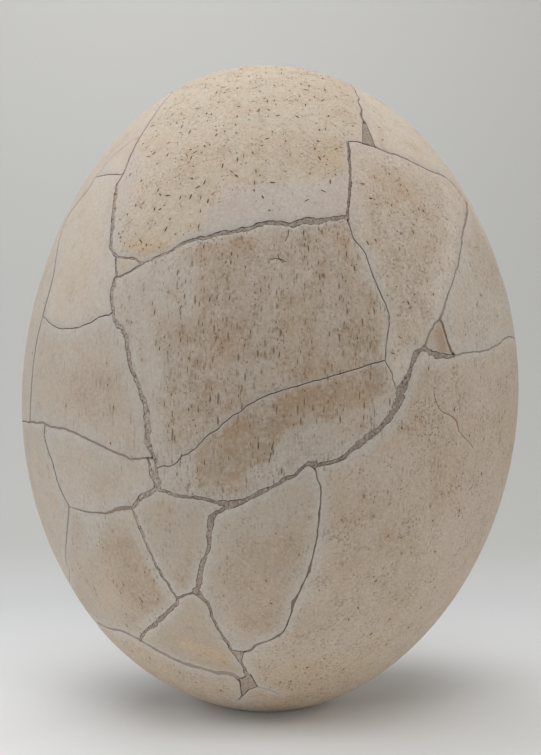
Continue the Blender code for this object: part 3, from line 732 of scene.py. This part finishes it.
# Pores that hold dirt: long and upright in chains on the sides, short and every way on the crown,
# and few where the shell is clean. Lengths and gaps are in metres.
PORE_SEED = 7
DENSEST_PORES = 20.0  # per square centimetre
LOWEST_PORE = -0.95
WORN_GAIN = 1.4
CLEAN_SHARE = 0.12
CHAIN_WIDTH = 0.0040
CHAIN_LENGTH = 0.022
CHAIN_USUAL, CHAIN_CONTRAST, CHAIN_MOST = 0.5, 3.2, 1.6
SHORTEST_SHARE, LONG_SHARE, LONG_RARITY = 0.32, 2.0, 2.8
PORE_TO_JOINT = 0.0016
PORE_TO_PORE = 0.0004
DRIFT_SIZE = 0.05
DRIFT_TURN = 0.25
HALF_WIDTH_LEAST, HALF_WIDTH_VARIES, WIDER_WHEN_LONG = 0.00009, 0.00010, 40
PORE_DEPTHS = (0.00025, 0.00045)
PORE_OUTLINE = ((-0.5, 0.15), (-0.2, -1.0), (0.25, -0.8), (0.5, -0.1), (0.22, 0.9), (-0.25, 1.0))

chance = Random(PORE_SEED)
tries = int(4 * pi * HALF_WIDTH * HALF_LENGTH * 10000 * DENSEST_PORES)
ways = []
for _ in range(tries):
    level, turn = chance.uniform(LOWEST_PORE, 1), chance.uniform(0, 2 * pi)
    ways.append(level_way(level, turn))
places = [on_egg(way) for way in ways]
numbers = [shard_finder.find(way)[1] for way in ways]
wear = wear_at(np.array([tuple(place) for place in places]), np.array(numbers))
pores = []
pore_places = []
for index, (way, place, number) in enumerate(zip(ways, places, numbers)):
    density, usual_length, upright = SHARD_ROWS[number][5:8]
    worn = min(1.0, WORN_GAIN * max(0.0, wear["brown"][index] + wear["ochre"][index]))
    drawn, length_draw, width_draw, turn_draw, depth_draw = (chance.random() for _ in range(5))
    chain = noise.noise(Vector((place.x / CHAIN_WIDTH, place.y / CHAIN_WIDTH,
                                place.z / CHAIN_LENGTH)))
    chained = min(CHAIN_MOST, max(0.0, CHAIN_USUAL + CHAIN_CONTRAST * chain))
    gathered = 1 + upright * (chained - 1)
    if drawn > density * (CLEAN_SHARE + (1 - CLEAN_SHARE) * worn) * gathered / DENSEST_PORES:
        continue
    length = usual_length * (SHORTEST_SHARE + LONG_SHARE * length_draw ** LONG_RARITY) / 1000
    if joint_distance(place) < PORE_TO_JOINT + length / 2:
        continue
    if any((place - other).length < PORE_TO_PORE + (length + reach) / 2
           for other, reach in pore_places):
        continue
    normal = outward(way)
    up = (Vector((0, 0, 1)) - normal * normal.z).normalized()
    drift = noise.noise(place / DRIFT_SIZE) * DRIFT_TURN
    tilt = (turn_draw * 2 - 1) ** 3 * (1 - upright) * pi + drift
    along = up * cos(tilt) + normal.cross(up) * sin(tilt)
    across = normal.cross(along)
    half_width = HALF_WIDTH_LEAST + HALF_WIDTH_VARIES * width_draw
    half_width = half_width * (1 + WIDER_WHEN_LONG * length) * (2.0 - upright)
    corners = [place + along * (run * length) + across * (side * half_width)
               for run, side in PORE_OUTLINE]
    depth = PORE_DEPTHS[0] + (PORE_DEPTHS[1] - PORE_DEPTHS[0]) * depth_draw
    pores.append(Pore(corners, depth))
    pore_places.append((place, length))
pore_finder = finder_of([(place, index) for index, (place, _) in enumerate(pore_places)])


def clear_of_pores(point, gap):
    """Whether a skin point keeps a gap to every pore."""
    _, index, away = pore_finder.find(point)
    return away > pore_places[index][1] / 2 + gap


marks = [way for way in spread_marks(SKIN_SPACING, max(COLLAR_HEIGHTS) + SKIN_TO_COLLAR)
         if joint_distance(on_egg(way)) > SKIN_TO_JOINT
         and clear_of_pores(on_egg(way), SKIN_TO_PORE)]
turns = [2 * pi * side / RIM_SIDES for side in range(RIM_SIDES)]
for height in COLLAR_HEIGHTS:
    marks += [level_way((height - MIDDLE_HEIGHT) / HALF_LENGTH, turn) for turn in turns]
for middle, aside, left, right in stations:
    for reach in (left, -right):
        point = middle + aside * (reach + (ROUNDING_WIDTH if reach > 0 else -ROUNDING_WIDTH))
        if joint_distance(point) > ROUNDING_TO_JOINT:
            marks.append(way_to(point))
rim = [level_way(-MIDDLE_HEIGHT / HALF_LENGTH, turn) for turn in turns]
ways, triangles, inside = triangulated(cut_parts + pores, 0, marks, rim)
shards = shard_numbers(ways, triangles, inside)

# Each shard was set a hair higher, lower or askew, and the whole shell is a little uneven.
SET_SEED = 3
SET_HEIGHT = 0.00009
SET_TILT = radians(0.18)
SET_LIMIT = 0.00020
UNEVEN = ((0.055, 0.00030), (0.019, 0.00008), (0.0075, 0.000025))
EDGE_ROUNDING = 0.00013
FLAT_FADE = 0.008
SHARP_ANGLE = radians(38)
LOOKS = ("skin", "dust", "red", "pore", "soft")  # in the order of the shell's materials


def jitter(chance):
    """A random vector of up to 1 along each axis."""
    return Vector((chance.uniform(-1, 1), chance.uniform(-1, 1), chance.uniform(-1, 1)))


def finished(made, name):
    """The object of a finished mesh, shaded smooth but for its sharp folds."""
    data = bpy.data.meshes.new(name)
    made.to_mesh(data)
    made.free()
    data.shade_smooth()
    data.set_sharp_from_angle(angle=SHARP_ANGLE)
    piece = bpy.data.objects.new(name, data)
    bpy.context.scene.collection.objects.link(piece)
    return piece


chance = Random(SET_SEED)
shard_count = len(SHARD_NAMES) + 1
corner_shard = [None] * len(ways)
on_joint = [False] * len(ways)
push_depth = [0.0] * len(ways)
for triangle, owner, shard in zip(triangles, inside, shards):
    for corner in triangle:
        if owner is None:
            corner_shard[corner] = shard
        else:
            push_depth[corner] = max(push_depth[corner], owner.depth)
            on_joint[corner] = on_joint[corner] or not isinstance(owner, Pore)
smooth_points = [on_egg(way) for way in ways]
shard_places = [Vector() for _ in range(shard_count)]
shard_sizes = [0] * shard_count
for place, shard in zip(smooth_points, corner_shard):
    if shard is not None:
        shard_places[shard] += place
        shard_sizes[shard] += 1
shard_places = [place / max(1, size) for place, size in zip(shard_places, shard_sizes)]
shard_heights = [chance.uniform(-SET_HEIGHT, SET_HEIGHT) for _ in range(shard_count)]
shard_tilts = [jitter(chance) * SET_TILT for _ in range(shard_count)]


def skin_height(point, shard):
    """How far the skin lies outside the smooth egg at a point of a shard."""
    uneven = sum(noise.noise(point / length) * by for length, by in UNEVEN)
    if shard is not None:
        askew = shard_heights[shard] + shard_tilts[shard].dot(point - shard_places[shard])
        uneven += min(SET_LIMIT, max(-SET_LIMIT, askew))
    return uneven * min(1.0, max(0.0, point.z / FLAT_FADE))


skin = bmesh.new()
depth_layer = skin.verts.layers.float.new("push depth")
shard_layer = skin.verts.layers.int.new("shard")
corners = []
for index, (way, place) in enumerate(zip(ways, smooth_points)):
    height = skin_height(place, corner_shard[index])
    if on_joint[index] and corner_shard[index] is not None:
        height -= EDGE_ROUNDING
    corner = skin.verts.new(place + outward(way) * height)
    corner[depth_layer] = push_depth[index]
    corner[shard_layer] = len(SHARD_NAMES) if corner_shard[index] is None else corner_shard[index]
    corners.append(corner)
sunk_faces = []
for triangle, owner in zip(triangles, inside):
    face = skin.faces.new([corners[corner] for corner in triangle])
    if owner is not None:
        face.material_index = LOOKS.index(owner.look)
        sunk_faces.append(face)
bmesh.ops.contextual_create(skin, geom=[edge for edge in skin.edges if edge.is_boundary])
bmesh.ops.recalc_face_normals(skin, faces=skin.faces)
sunk = bmesh.ops.extrude_face_region(skin, geom=sunk_faces)
for corner in (item for item in sunk["geom"] if isinstance(item, bmesh.types.BMVert)):
    corner.co -= outward(way_to(corner.co)) * corner[depth_layer]
bmesh.ops.delete(skin, geom=sunk_faces, context="FACES")
for corner in [corner for corner in skin.verts if not corner.link_faces]:
    skin.verts.remove(corner)
bmesh.ops.recalc_face_normals(skin, faces=skin.faces)
eggshell = finished(skin, "eggshell_surface")
skin_data = eggshell.data


def linear(colour):
    """The linear colour of an sRGB hex value."""
    parts = [int(colour[place:place + 2], 16) / 255 for place in (1, 3, 5)]
    return tuple(part / 12.92 if part <= 0.04045 else ((part + 0.055) / 1.055) ** 2.4
                 for part in parts) + (1.0,)


# Each corner of the skin carries its shard's own colour, and how worn it is there: paler towards
# the joints, where it was scraped clean, and browner right at an edge or a pore.
CLEANED = 0.75
CLEANED_REACH = 1.15
HALO = 0.30
HALO_WIDTH = 0.0007
PORE_HALO = 0.30
PORE_HALO_GAP = 0.0001

count = len(skin_data.vertices)
places = np.empty(count * 3)
skin_data.vertices.foreach_get("co", places)
places = places.reshape(-1, 3)
numbers = np.empty(count, int)
skin_data.attributes["shard"].data.foreach_get("value", numbers)
wear = wear_at(places, numbers)
margins = np.array([row[2] for row in SHARD_ROWS])[numbers] / 1000
away = np.array([joint_distance(Vector(place), joint_places) for place in places])
wear["pale"] += CLEANED * soft_step(CLEANED_REACH - away / margins)
wear["brown"] += HALO * soft_step(1 - away / HALO_WIDTH)
wear["brown"] += PORE_HALO * np.array([not clear_of_pores(Vector(place), PORE_HALO_GAP)
                                       for place in places])
carried = {"tint": np.array([linear(row[1]) for row in SHARD_ROWS])[numbers]}
for name, kinds in WEAR_LAYERS.items():
    shown = np.stack([wear[kind] for kind in kinds] + [np.ones(count)], axis=1)
    carried[name] = np.clip(shown, 0, 1)
for name, values in carried.items():
    skin_data.attributes.new(name, "FLOAT_COLOR", "POINT")
    skin_data.attributes[name].data.foreach_set("color", values.ravel())
for name in ("shard", "push depth"):
    skin_data.attributes.remove(skin_data.attributes[name])


def new_material(name):
    """An empty material with a shader that reaches the surface."""
    material = bpy.data.materials.new(name)
    material.use_nodes = True
    return material, material.node_tree.nodes["Principled BSDF"]


def add_node(material, kind, inputs=None, **settings):
    """Adds a node with its settings; an input is a value or another node's output."""
    node = material.node_tree.nodes.new(kind)
    for name, value in settings.items():
        setattr(node, name, value)
    for name, value in (inputs or {}).items():
        if isinstance(value, bpy.types.NodeSocket):
            material.node_tree.links.new(value, node.inputs[name])
        else:
            node.inputs[name].default_value = value
    return node


# Aged eggshell: matt calcite, cream where it is clean, with brown burial stain, ochre bloom, pale
# rubbed margins, dirt in its fine pores, and a faint upright grain that the bird's egg grew with.
CLOUD_SIZE = 0.024
BLOOM_SIZE = 0.015
SMUDGE_SIZE = 0.0085
MOTTLE_SIZE = 0.0062
GRAIN_SIZE = 0.0013  # the real grain is finer than a pixel; drawn this coarse to show
STREAK_WIDTH = 0.0010
STREAK_STRETCH = 0.22
DASH_CELL = 0.0015
FINE_DASH_CELL = 0.0009
CHAIN_SIZE = 0.0045
SPECK_CELL = 0.0014
RUST_CELL = 0.0015
CELL_INNER, CELL_OUTER, CELL_SOFTNESS = 0.14, 0.36, 0.3
CROWN_START = 0.222
CROWN_FADE = 0.012
MIX_A, MIX_B, MIXED = 6, 7, 2  # the colour sockets of a Mix node

shell, shell_shader = new_material("Aged eggshell")
place = add_node(shell, "ShaderNodeTexCoord").outputs["Object"]
upright = add_node(shell, "ShaderNodeMapping", {"Vector": place,
                                                "Scale": (1, 1, STREAK_STRETCH)}).outputs["Vector"]
patterns = {"height": add_node(shell, "ShaderNodeSeparateXYZ", {"Vector": place}).outputs["Z"]}
for name, kinds in WEAR_LAYERS.items():
    carried = add_node(shell, "ShaderNodeAttribute", attribute_name=name).outputs["Color"]
    parts = add_node(shell, "ShaderNodeSeparateColor", {"Color": carried}).outputs
    patterns.update(zip(kinds, parts))
for name, where, size, detail in (("cloud", place, CLOUD_SIZE, 3),
                                  ("mottle", place, MOTTLE_SIZE, 4),
                                  ("grain", place, GRAIN_SIZE, 3),
                                  ("streak", upright, STREAK_WIDTH, 3),
                                  ("bloom", place, BLOOM_SIZE, 3),
                                  ("smudge", place, SMUDGE_SIZE, 2),
                                  ("chain", upright, CHAIN_SIZE, 2)):
    patterns[name] = add_node(shell, "ShaderNodeTexNoise", {
        "Vector": where, "Scale": 1 / size, "Detail": detail, "Roughness": 0.6}).outputs["Fac"]


def amount(*factors):
    """How far something shows: the product of its factors from left to right.

    A factor is a number, a pattern's name, or a name with the two values of that pattern that turn
    into 0 and 1, or into the two numbers after them.
    """
    product = None
    for factor in factors:
        if isinstance(factor, tuple):
            name, low, high, to_low, to_high = (factor + (0.0, 1.0))[:5]
            factor = add_node(shell, "ShaderNodeMapRange", {
                "Value": patterns[name], "From Min": low, "From Max": high, "To Min": to_low,
                "To Max": to_high}, interpolation_type="SMOOTHSTEP").outputs["Result"]
        elif isinstance(factor, str):
            factor = patterns[factor]
        if product is None:
            product = factor
        else:
            product = add_node(shell, "ShaderNodeMath", {0: product, 1: factor},
                               operation="MULTIPLY", use_clamp=True).outputs[0]
    return product


for name, where, size, rare in (("dashes", upright, DASH_CELL, 0.45),
                                ("fine dashes", upright, FINE_DASH_CELL, 0.30),
                                ("specks", place, SPECK_CELL, 0.40),
                                ("rust dots", place, RUST_CELL, 0.15)):
    cell = add_node(shell, "ShaderNodeTexVoronoi", {"Vector": where, "Scale": 1 / size}).outputs
    patterns["cell middle"] = cell["Distance"]
    patterns["cell draw"] = add_node(shell, "ShaderNodeSeparateColor",
                                     {"Color": cell["Color"]}).outputs[0]
    patterns[name] = amount(("cell middle", CELL_INNER, CELL_OUTER, 1, 0),
                            ("cell draw", rare, rare + CELL_SOFTNESS))
patterns["brown shown"] = amount("brown", ("mottle", 0.33, 0.66, 0.66, 1.18),
                                 ("grain", 0.32, 0.68, 0.78, 1.16))
patterns["ochre shown"] = amount("ochre", ("mottle", 0.3, 0.7, 0.7, 1.25))
patterns["pale shown"] = amount("pale", ("cloud", 0.3, 0.6, 0.6, 1.1))
patterns["gathered"] = amount("speck", ("smudge", 0.40, 0.60, 0.25, 1.0),
                              ("pale", 0.2, 0.9, 1, 0.15))
patterns["chained"] = amount("dash", ("chain", 0.42, 0.60, 0.15, 1.0))
patterns["crown"] = amount(("height", CROWN_START - CROWN_FADE, CROWN_START))

# The layers over the shell's own colour, from the broadest stain to the finest mark
colour = add_node(shell, "ShaderNodeAttribute", attribute_name="tint").outputs["Color"]
for layer, *factors in (("#AF9C86", "brown shown"),
                        ("#B08D69", "brown shown", ("cloud", 0.42, 0.62), 0.55),
                        ("#CCB799", "ochre shown"),
                        ("#C9C4BD", "pale shown"),
                        ("#CFC0B6", "pale shown", "crown"),
                        ("#B0A597", ("cloud", 0.3, 0.7), 0.10),
                        ("#C9AD92", ("bloom", 0.48, 0.66), 0.20),
                        ("#A89682", ("smudge", 0.52, 0.70), 0.16),
                        ("#8F7A63", ("streak", 0.50, 0.70), "dash", 0.20),
                        ("#A19382", ("grain", 0.3, 0.7), 0.17),
                        ("#E2DACE", ("grain", 0.42, 0.26), 0.09),
                        ("#E0D6C8", ("grain", 0.46, 0.34), "speck", 0.10),
                        ("#8B7864", ("grain", 0.52, 0.68), "gathered", 0.42),
                        ("#6E5B46", "fine dashes", "chained", 0.62),
                        ("#5D4B39", "dashes", "chained", 0.72),
                        ("#7A6852", "specks", "gathered", 0.80),
                        ("#8A5E3E", "rust dots", "rust", 0.90)):
    colour = add_node(shell, "ShaderNodeMix", {0: amount(*factors), MIX_A: colour,
                                               MIX_B: linear(layer)},
                      data_type="RGBA").outputs[MIXED]
relief = add_node(shell, "ShaderNodeMath", {0: patterns["grain"], 1: amount("dashes", "dash")},
                  operation="SUBTRACT").outputs[0]
relief = add_node(shell, "ShaderNodeMath", {0: relief, 1: patterns["streak"]},
                  operation="ADD").outputs[0]
bumped = add_node(shell, "ShaderNodeBump", {"Height": relief, "Strength": 0.55,
                                            "Distance": 0.00030}).outputs["Normal"]
links = shell.node_tree.links
links.new(colour, shell_shader.inputs["Base Color"])
links.new(amount(("grain", 0.2, 0.8, 0.62, 0.78)), shell_shader.inputs["Roughness"])
links.new(bumped, shell_shader.inputs["Normal"])
shell_shader.inputs["IOR"].default_value = 1.55
shell_shader.inputs["Specular IOR Level"].default_value = 0.35
skin_data.materials.append(shell)

# Dust and dirt in the joints, cracks and pores, in the order of LOOKS: dry powders of two tones,
# with hardly any shine. Each row: name, size of the clots in metres, the darker and the paler tone,
# roughness, specular level, and the tone that it has on the crown if that is another.
CROWN_EDGE = 0.004
DUSTS = (("Dry dust in the joints", 0.00111, "#857362", "#9E8B79", 0.95, 0.1, None),
         ("Rust brown crack", 0.00143, "#A8826B", "#BFA08A", 0.90, 0.5, None),
         ("Burial dirt in the pores", 0.00250, "#574836", "#7B6850", 0.95, 0.1, "#8D7B5E"),
         ("Pale dust in the tight joints", 0.00200, "#93847A", "#B0A194", 0.95, 0.1, None))
for name, size, dark, light, roughness, specular, on_crown in DUSTS:
    powder, powder_shader = new_material(name)
    place = add_node(powder, "ShaderNodeTexCoord").outputs["Object"]
    clots = add_node(powder, "ShaderNodeTexNoise", {"Vector": place, "Scale": 1 / size,
                                                    "Detail": 2}).outputs["Fac"]
    colour = add_node(powder, "ShaderNodeMix", {0: clots, MIX_A: linear(dark),
                                                MIX_B: linear(light)},
                      data_type="RGBA").outputs[MIXED]
    if on_crown:
        height = add_node(powder, "ShaderNodeSeparateXYZ", {"Vector": place}).outputs["Z"]
        shown = add_node(powder, "ShaderNodeMapRange", {
            "Value": height, "From Min": CROWN_START,
            "From Max": CROWN_START + CROWN_EDGE}).outputs["Result"]
        colour = add_node(powder, "ShaderNodeMix", {0: shown, MIX_A: colour,
                                                    MIX_B: linear(on_crown)},
                          data_type="RGBA").outputs[MIXED]
    powder.node_tree.links.new(colour, powder_shader.inputs["Base Color"])
    powder_shader.inputs["Roughness"].default_value = roughness
    powder_shader.inputs["Specular IOR Level"].default_value = specular
    skin_data.materials.append(powder)
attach(eggshell, "root")
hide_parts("eggshell")


# The mender's filler.
# A stiff paste of glue, shell grit and fine sand, pressed into the wide joints and the small gaps
# after the shards were set. It dried just under the skin and drew away a little from both sides.
FILLER_GAP = 0.00020
FILLER_SINK = 0.00012
FILLER_EDGE_DROP = 0.00022
FILLER_FLOOR = 0.00132
GRIT_SIZE = 0.0011
GRIT_HEIGHT = 0.00027
GRIT_SEED = 11
GRIT_EACH_STATION = 2
GRIT_TO_SIDE = 0.0001
GRIT_SLIDE = 0.0003
GRIT_PER_SQUARE_METRE = 6e6
EDGES_READ = 6

chance = Random(GRIT_SEED)
grit_marks = []
filled_stations = [station for joint in joints if joint.filled for station in joint.stations]
for middle, aside, left, right in filled_stations:
    spread = (left + right) / 2 - FILLER_GAP - GRIT_TO_SIDE
    for _ in range(GRIT_EACH_STATION if spread > 0 else 0):
        slide = jitter(chance) * GRIT_SLIDE
        across = (left - right) / 2 + chance.uniform(-spread, spread)
        grit_marks.append(way_to(middle + slide + aside * across))
filled_parts = [part for part in joints + filled_patches if part.filled]
for patch in filled_patches:
    middle = sum(patch.corners, Vector()) / len(patch.corners)
    reach = max((corner - middle).length for corner in patch.corners)
    for _ in range(int(reach ** 2 * GRIT_PER_SQUARE_METRE)):
        grit_marks.append(way_to(middle + jitter(chance) * reach))
paste_ways, paste_triangles, paste_inside = triangulated(filled_parts, FILLER_GAP, grit_marks)
edge_places = [(place, shard) for place, shard, at_joint in zip(smooth_points, corner_shard, on_joint)
               if at_joint and shard is not None]
edge_heights = [skin_height(place, shard) for place, shard in edge_places]
edge_finder = finder_of([(place, index) for index, (place, _) in enumerate(edge_places)])
paste = bmesh.new()
paste_corners = {}
for triangle, owner in zip(paste_triangles, paste_inside):
    if owner is None:
        continue
    for index in triangle:
        if index not in paste_corners:
            paste_corners[index] = paste.verts.new(on_egg(paste_ways[index]))
    paste.faces.new([paste_corners[index] for index in triangle])
bmesh.ops.recalc_face_normals(paste, faces=paste.faces)
for index, corner in paste_corners.items():
    place = corner.co.copy()
    nearby = [edge_heights[found] for _, found, _ in edge_finder.find_n(place, EDGES_READ)]
    height = sum(nearby) / len(nearby) - FILLER_SINK
    height += noise.noise(place / GRIT_SIZE) * GRIT_HEIGHT
    if corner.is_boundary:
        height -= FILLER_EDGE_DROP
    corner.co = place + outward(paste_ways[index]) * height
pressed = bmesh.ops.extrude_face_region(paste, geom=list(paste.faces))
for corner in (item for item in pressed["geom"] if isinstance(item, bmesh.types.BMVert)):
    way = way_to(corner.co)
    corner.co = on_egg(way) - outward(way) * FILLER_FLOOR
bmesh.ops.recalc_face_normals(paste, faces=paste.faces)
seam_paste = finished(paste, "seam_paste")

# Grey-brown paste with pale shell grit and dark sand in it, dull all over. It is dirtier above on
# the right, and browner low down. Heights and places across are in metres.
PASTE_CLOUD = 0.0035
PASTE_GRIT = 0.0009
DIRTY_FROM, DIRTY_FULL = 0.080, 0.100
DIRTY_LEFT, DIRTY_RIGHT = -0.042, -0.030
LOW_FROM, LOW_FULL = 0.090, 0.065
ZONE_STRENGTH = 0.30

filler, filler_shader = new_material("Grit-filled mender's paste")
place = add_node(filler, "ShaderNodeTexCoord").outputs["Object"]
body = add_node(filler, "ShaderNodeTexNoise", {"Vector": place, "Scale": 1 / PASTE_CLOUD,
                                               "Detail": 4}).outputs["Fac"]
grit = add_node(filler, "ShaderNodeTexNoise", {"Vector": place, "Scale": 1 / PASTE_GRIT,
                                               "Detail": 3, "Roughness": 0.7}).outputs["Fac"]
across, _, height = add_node(filler, "ShaderNodeSeparateXYZ", {"Vector": place}).outputs
colour = add_node(filler, "ShaderNodeMix", {0: body, MIX_A: linear("#AA9C90"),
                                            MIX_B: linear("#C4B6AA")},
                  data_type="RGBA").outputs[MIXED]
high = add_node(filler, "ShaderNodeMapRange", {
    "Value": height, "From Min": DIRTY_FROM, "From Max": DIRTY_FULL,
    "To Max": ZONE_STRENGTH}).outputs["Result"]
for value, start, full, most, layer in ((grit, 0.56, 0.66, 1.0, "#D6CCC0"),
                                        (grit, 0.45, 0.35, 1.0, "#6F6153"),
                                        (across, DIRTY_LEFT, DIRTY_RIGHT, high, "#5F5346"),
                                        (height, LOW_FROM, LOW_FULL, ZONE_STRENGTH, "#85705C")):
    shown = add_node(filler, "ShaderNodeMapRange", {"Value": value, "From Min": start,
                                                    "From Max": full,
                                                    "To Max": most}).outputs["Result"]
    colour = add_node(filler, "ShaderNodeMix", {0: shown, MIX_A: colour, MIX_B: linear(layer)},
                      data_type="RGBA").outputs[MIXED]
filler.node_tree.links.new(colour, filler_shader.inputs["Base Color"])
filler.node_tree.links.new(
    add_node(filler, "ShaderNodeBump", {"Height": grit, "Strength": 0.8,
                                        "Distance": 0.0002}).outputs["Normal"],
    filler_shader.inputs["Normal"])
filler_shader.inputs["Roughness"].default_value = 0.92
filler_shader.inputs["Specular IOR Level"].default_value = 0.25
seam_paste.data.materials.append(filler)
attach(seam_paste, "root")
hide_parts("seam_filler")


# The floor and backdrop.
# One sheet of pale studio paper, laid flat under the egg and swept up behind it, so that no corner
# shows. It is not part of the egg.
FLOOR_HALF = 4.0
FLOOR_FRONT = -4.0
FLOOR_BACK = 0.55
SWEEP_RADIUS = 0.9
SWEEP_STEPS = 32
WALL_HEIGHT = 1.6

sweep = bmesh.new()
front = [sweep.verts.new((side * FLOOR_HALF, FLOOR_FRONT, 0.0)) for side in (-1, 1)]
edge = sweep.edges.new(front)
laid = bmesh.ops.extrude_edge_only(sweep, edges=[edge])
line = [item for item in laid["geom"] if isinstance(item, bmesh.types.BMEdge)
        and all(corner not in front for corner in item.verts)]
for corner in line[0].verts:
    corner.co.y = FLOOR_BACK
swept = bmesh.ops.spin(sweep, geom=line, cent=(0, FLOOR_BACK, SWEEP_RADIUS), axis=(1, 0, 0),
                       angle=pi / 2, steps=SWEEP_STEPS, use_merge=False)
line = [item for item in swept["geom_last"] if isinstance(item, bmesh.types.BMEdge)]
raised_wall = bmesh.ops.extrude_edge_only(sweep, edges=line)
for corner in (item for item in raised_wall["geom"] if isinstance(item, bmesh.types.BMVert)):
    corner.co.z += WALL_HEIGHT
bmesh.ops.remove_doubles(sweep, verts=sweep.verts, dist=1e-6)
bmesh.ops.recalc_face_normals(sweep, faces=sweep.faces)
paper_sweep = finished(sweep, "paper_sweep")

# Matt card, faintly cloudy, graded to grey further back, with painted light in it: it is painted
# nearly white round the egg, a painted pool of light that lifts the egg's shadow on the floor, and
# painted lighter up the wall, as painted light from above.
CLOUDING_SIZE = 0.769
paper, paper_shader = new_material("Matt studio card with painted light")
place = add_node(paper, "ShaderNodeTexCoord").outputs["Object"]
clouding = add_node(paper, "ShaderNodeTexNoise", {"Vector": place, "Scale": 1 / CLOUDING_SIZE,
                                                  "Detail": 1}).outputs["Fac"]
where = add_node(paper, "ShaderNodeSeparateXYZ", {"Vector": place}).outputs
level = add_node(paper, "ShaderNodeCombineXYZ", {"X": where["X"], "Y": where["Y"]}).outputs[0]
away = add_node(paper, "ShaderNodeVectorMath", {0: level}, operation="LENGTH").outputs["Value"]
colour = add_node(paper, "ShaderNodeMix", {0: clouding, MIX_A: linear("#E2E4E6"),
                                           MIX_B: linear("#E6E8EA")},
                  data_type="RGBA").outputs[MIXED]
# Painted light: the first row fades the painted pool of light round the egg out to grey card, and the
# last row paints the wall lighter higher up.
for distance, low, high, layer in ((away, 0.09, 0.34, "#CBCDCF"),
                                   (where["Y"], 0.20, 0.60, "#C3C4C3"),
                                   (where["Z"], 0.15, 0.95, "#D9D9D7")):
    shown = add_node(paper, "ShaderNodeMapRange", {"Value": distance, "From Min": low,
                                                   "From Max": high},
                     interpolation_type="SMOOTHSTEP").outputs["Result"]
    colour = add_node(paper, "ShaderNodeMix", {0: shown, MIX_A: colour, MIX_B: linear(layer)},
                      data_type="RGBA").outputs[MIXED]
paper.node_tree.links.new(colour, paper_shader.inputs["Base Color"])
paper_shader.inputs["Roughness"].default_value = 0.9
paper_shader.inputs["Specular IOR Level"].default_value = 0.1
paper_sweep.data.materials.append(paper)


# The light and the camera.
# Soft square lamps overhead, high in front and on either side, one for the paper behind, and two
# small low ones that lift the egg's underside, in a dim room. None of them shows in the picture.
# Each row: name, place, what it is aimed at, side in metres, watts, spread in degrees, colour.
LAMPS = (("overhead", (-0.10, 0.0, 1.35), (0, 0, 0.15), 1.5, 7.8, 180, "#FEFCFA"),
         ("high front", (0, -0.9, 1.2), (0, 0, 0.2), 0.8, 7.4, 180, "#FEFCFA"),
         ("left side", (-1.3, -0.05, 0.60), (0, 0, 0.12), 0.9, 6.1, 180, "#F8FAFF"),
         ("right side", (1.35, 0.0, 0.55), (0, 0, 0.12), 0.9, 6.0, 180, "#FFFBF6"),
         ("low left", (-0.55, -0.50, 0.10), (0.02, -0.04, -0.02), 0.12, 0.031, 26, "#FFFDF8"),
         ("low right", (0.55, -0.50, 0.10), (-0.02, -0.04, -0.02), 0.12, 0.024, 26, "#FFFBF4"),
         ("backdrop", (-0.4, 0.5, 1.7), (-0.2, 1.4, 0.5), 1.2, 10.0, 180, "#FFFEFA"))
ROOM_STRENGTH = 0.05
for name, stand, aim, size, power, spread, colour in LAMPS:
    lamp = bpy.data.lights.new(name, "AREA")
    lamp.shape = "SQUARE"
    lamp.size = size
    lamp.spread = radians(spread)
    lamp.energy = power
    lamp.color = linear(colour)[:3]
    holder = bpy.data.objects.new(name, lamp)
    holder.location = stand
    holder.visible_camera = False
    holder.rotation_euler = (Vector(aim) - Vector(stand)).to_track_quat("-Z", "Y").to_euler()
    bpy.context.scene.collection.objects.link(holder)
room = bpy.data.worlds.new("Dim room")
room.use_nodes = True
room.node_tree.nodes["Background"].inputs["Color"].default_value = linear("#E6E6E4")
room.node_tree.nodes["Background"].inputs["Strength"].default_value = ROOM_STRENGTH
bpy.context.scene.world = room
bpy.context.scene.view_settings.view_transform = "Standard"

FRAME_WIDTH, FRAME_HEIGHT = 541, 755
SENSOR = 36.0
lens = bpy.data.cameras.new("Camera")
lens.sensor_fit = "VERTICAL"
lens.sensor_height = SENSOR
lens.lens = SENSOR * FOCAL_PIXELS / FRAME_HEIGHT
camera = bpy.data.objects.new("Camera", lens)
camera.location = ((FRAME_WIDTH / 2 - AXIS_PIXEL) * EYE_DISTANCE / FOCAL_PIXELS, -EYE_DISTANCE,
                   MIDDLE_HEIGHT + EYE_ABOVE_MIDDLE)
camera.rotation_euler = (pi / 2 - EYE_DROP, 0, 0)
bpy.context.scene.collection.objects.link(camera)
bpy.context.scene.camera = camera
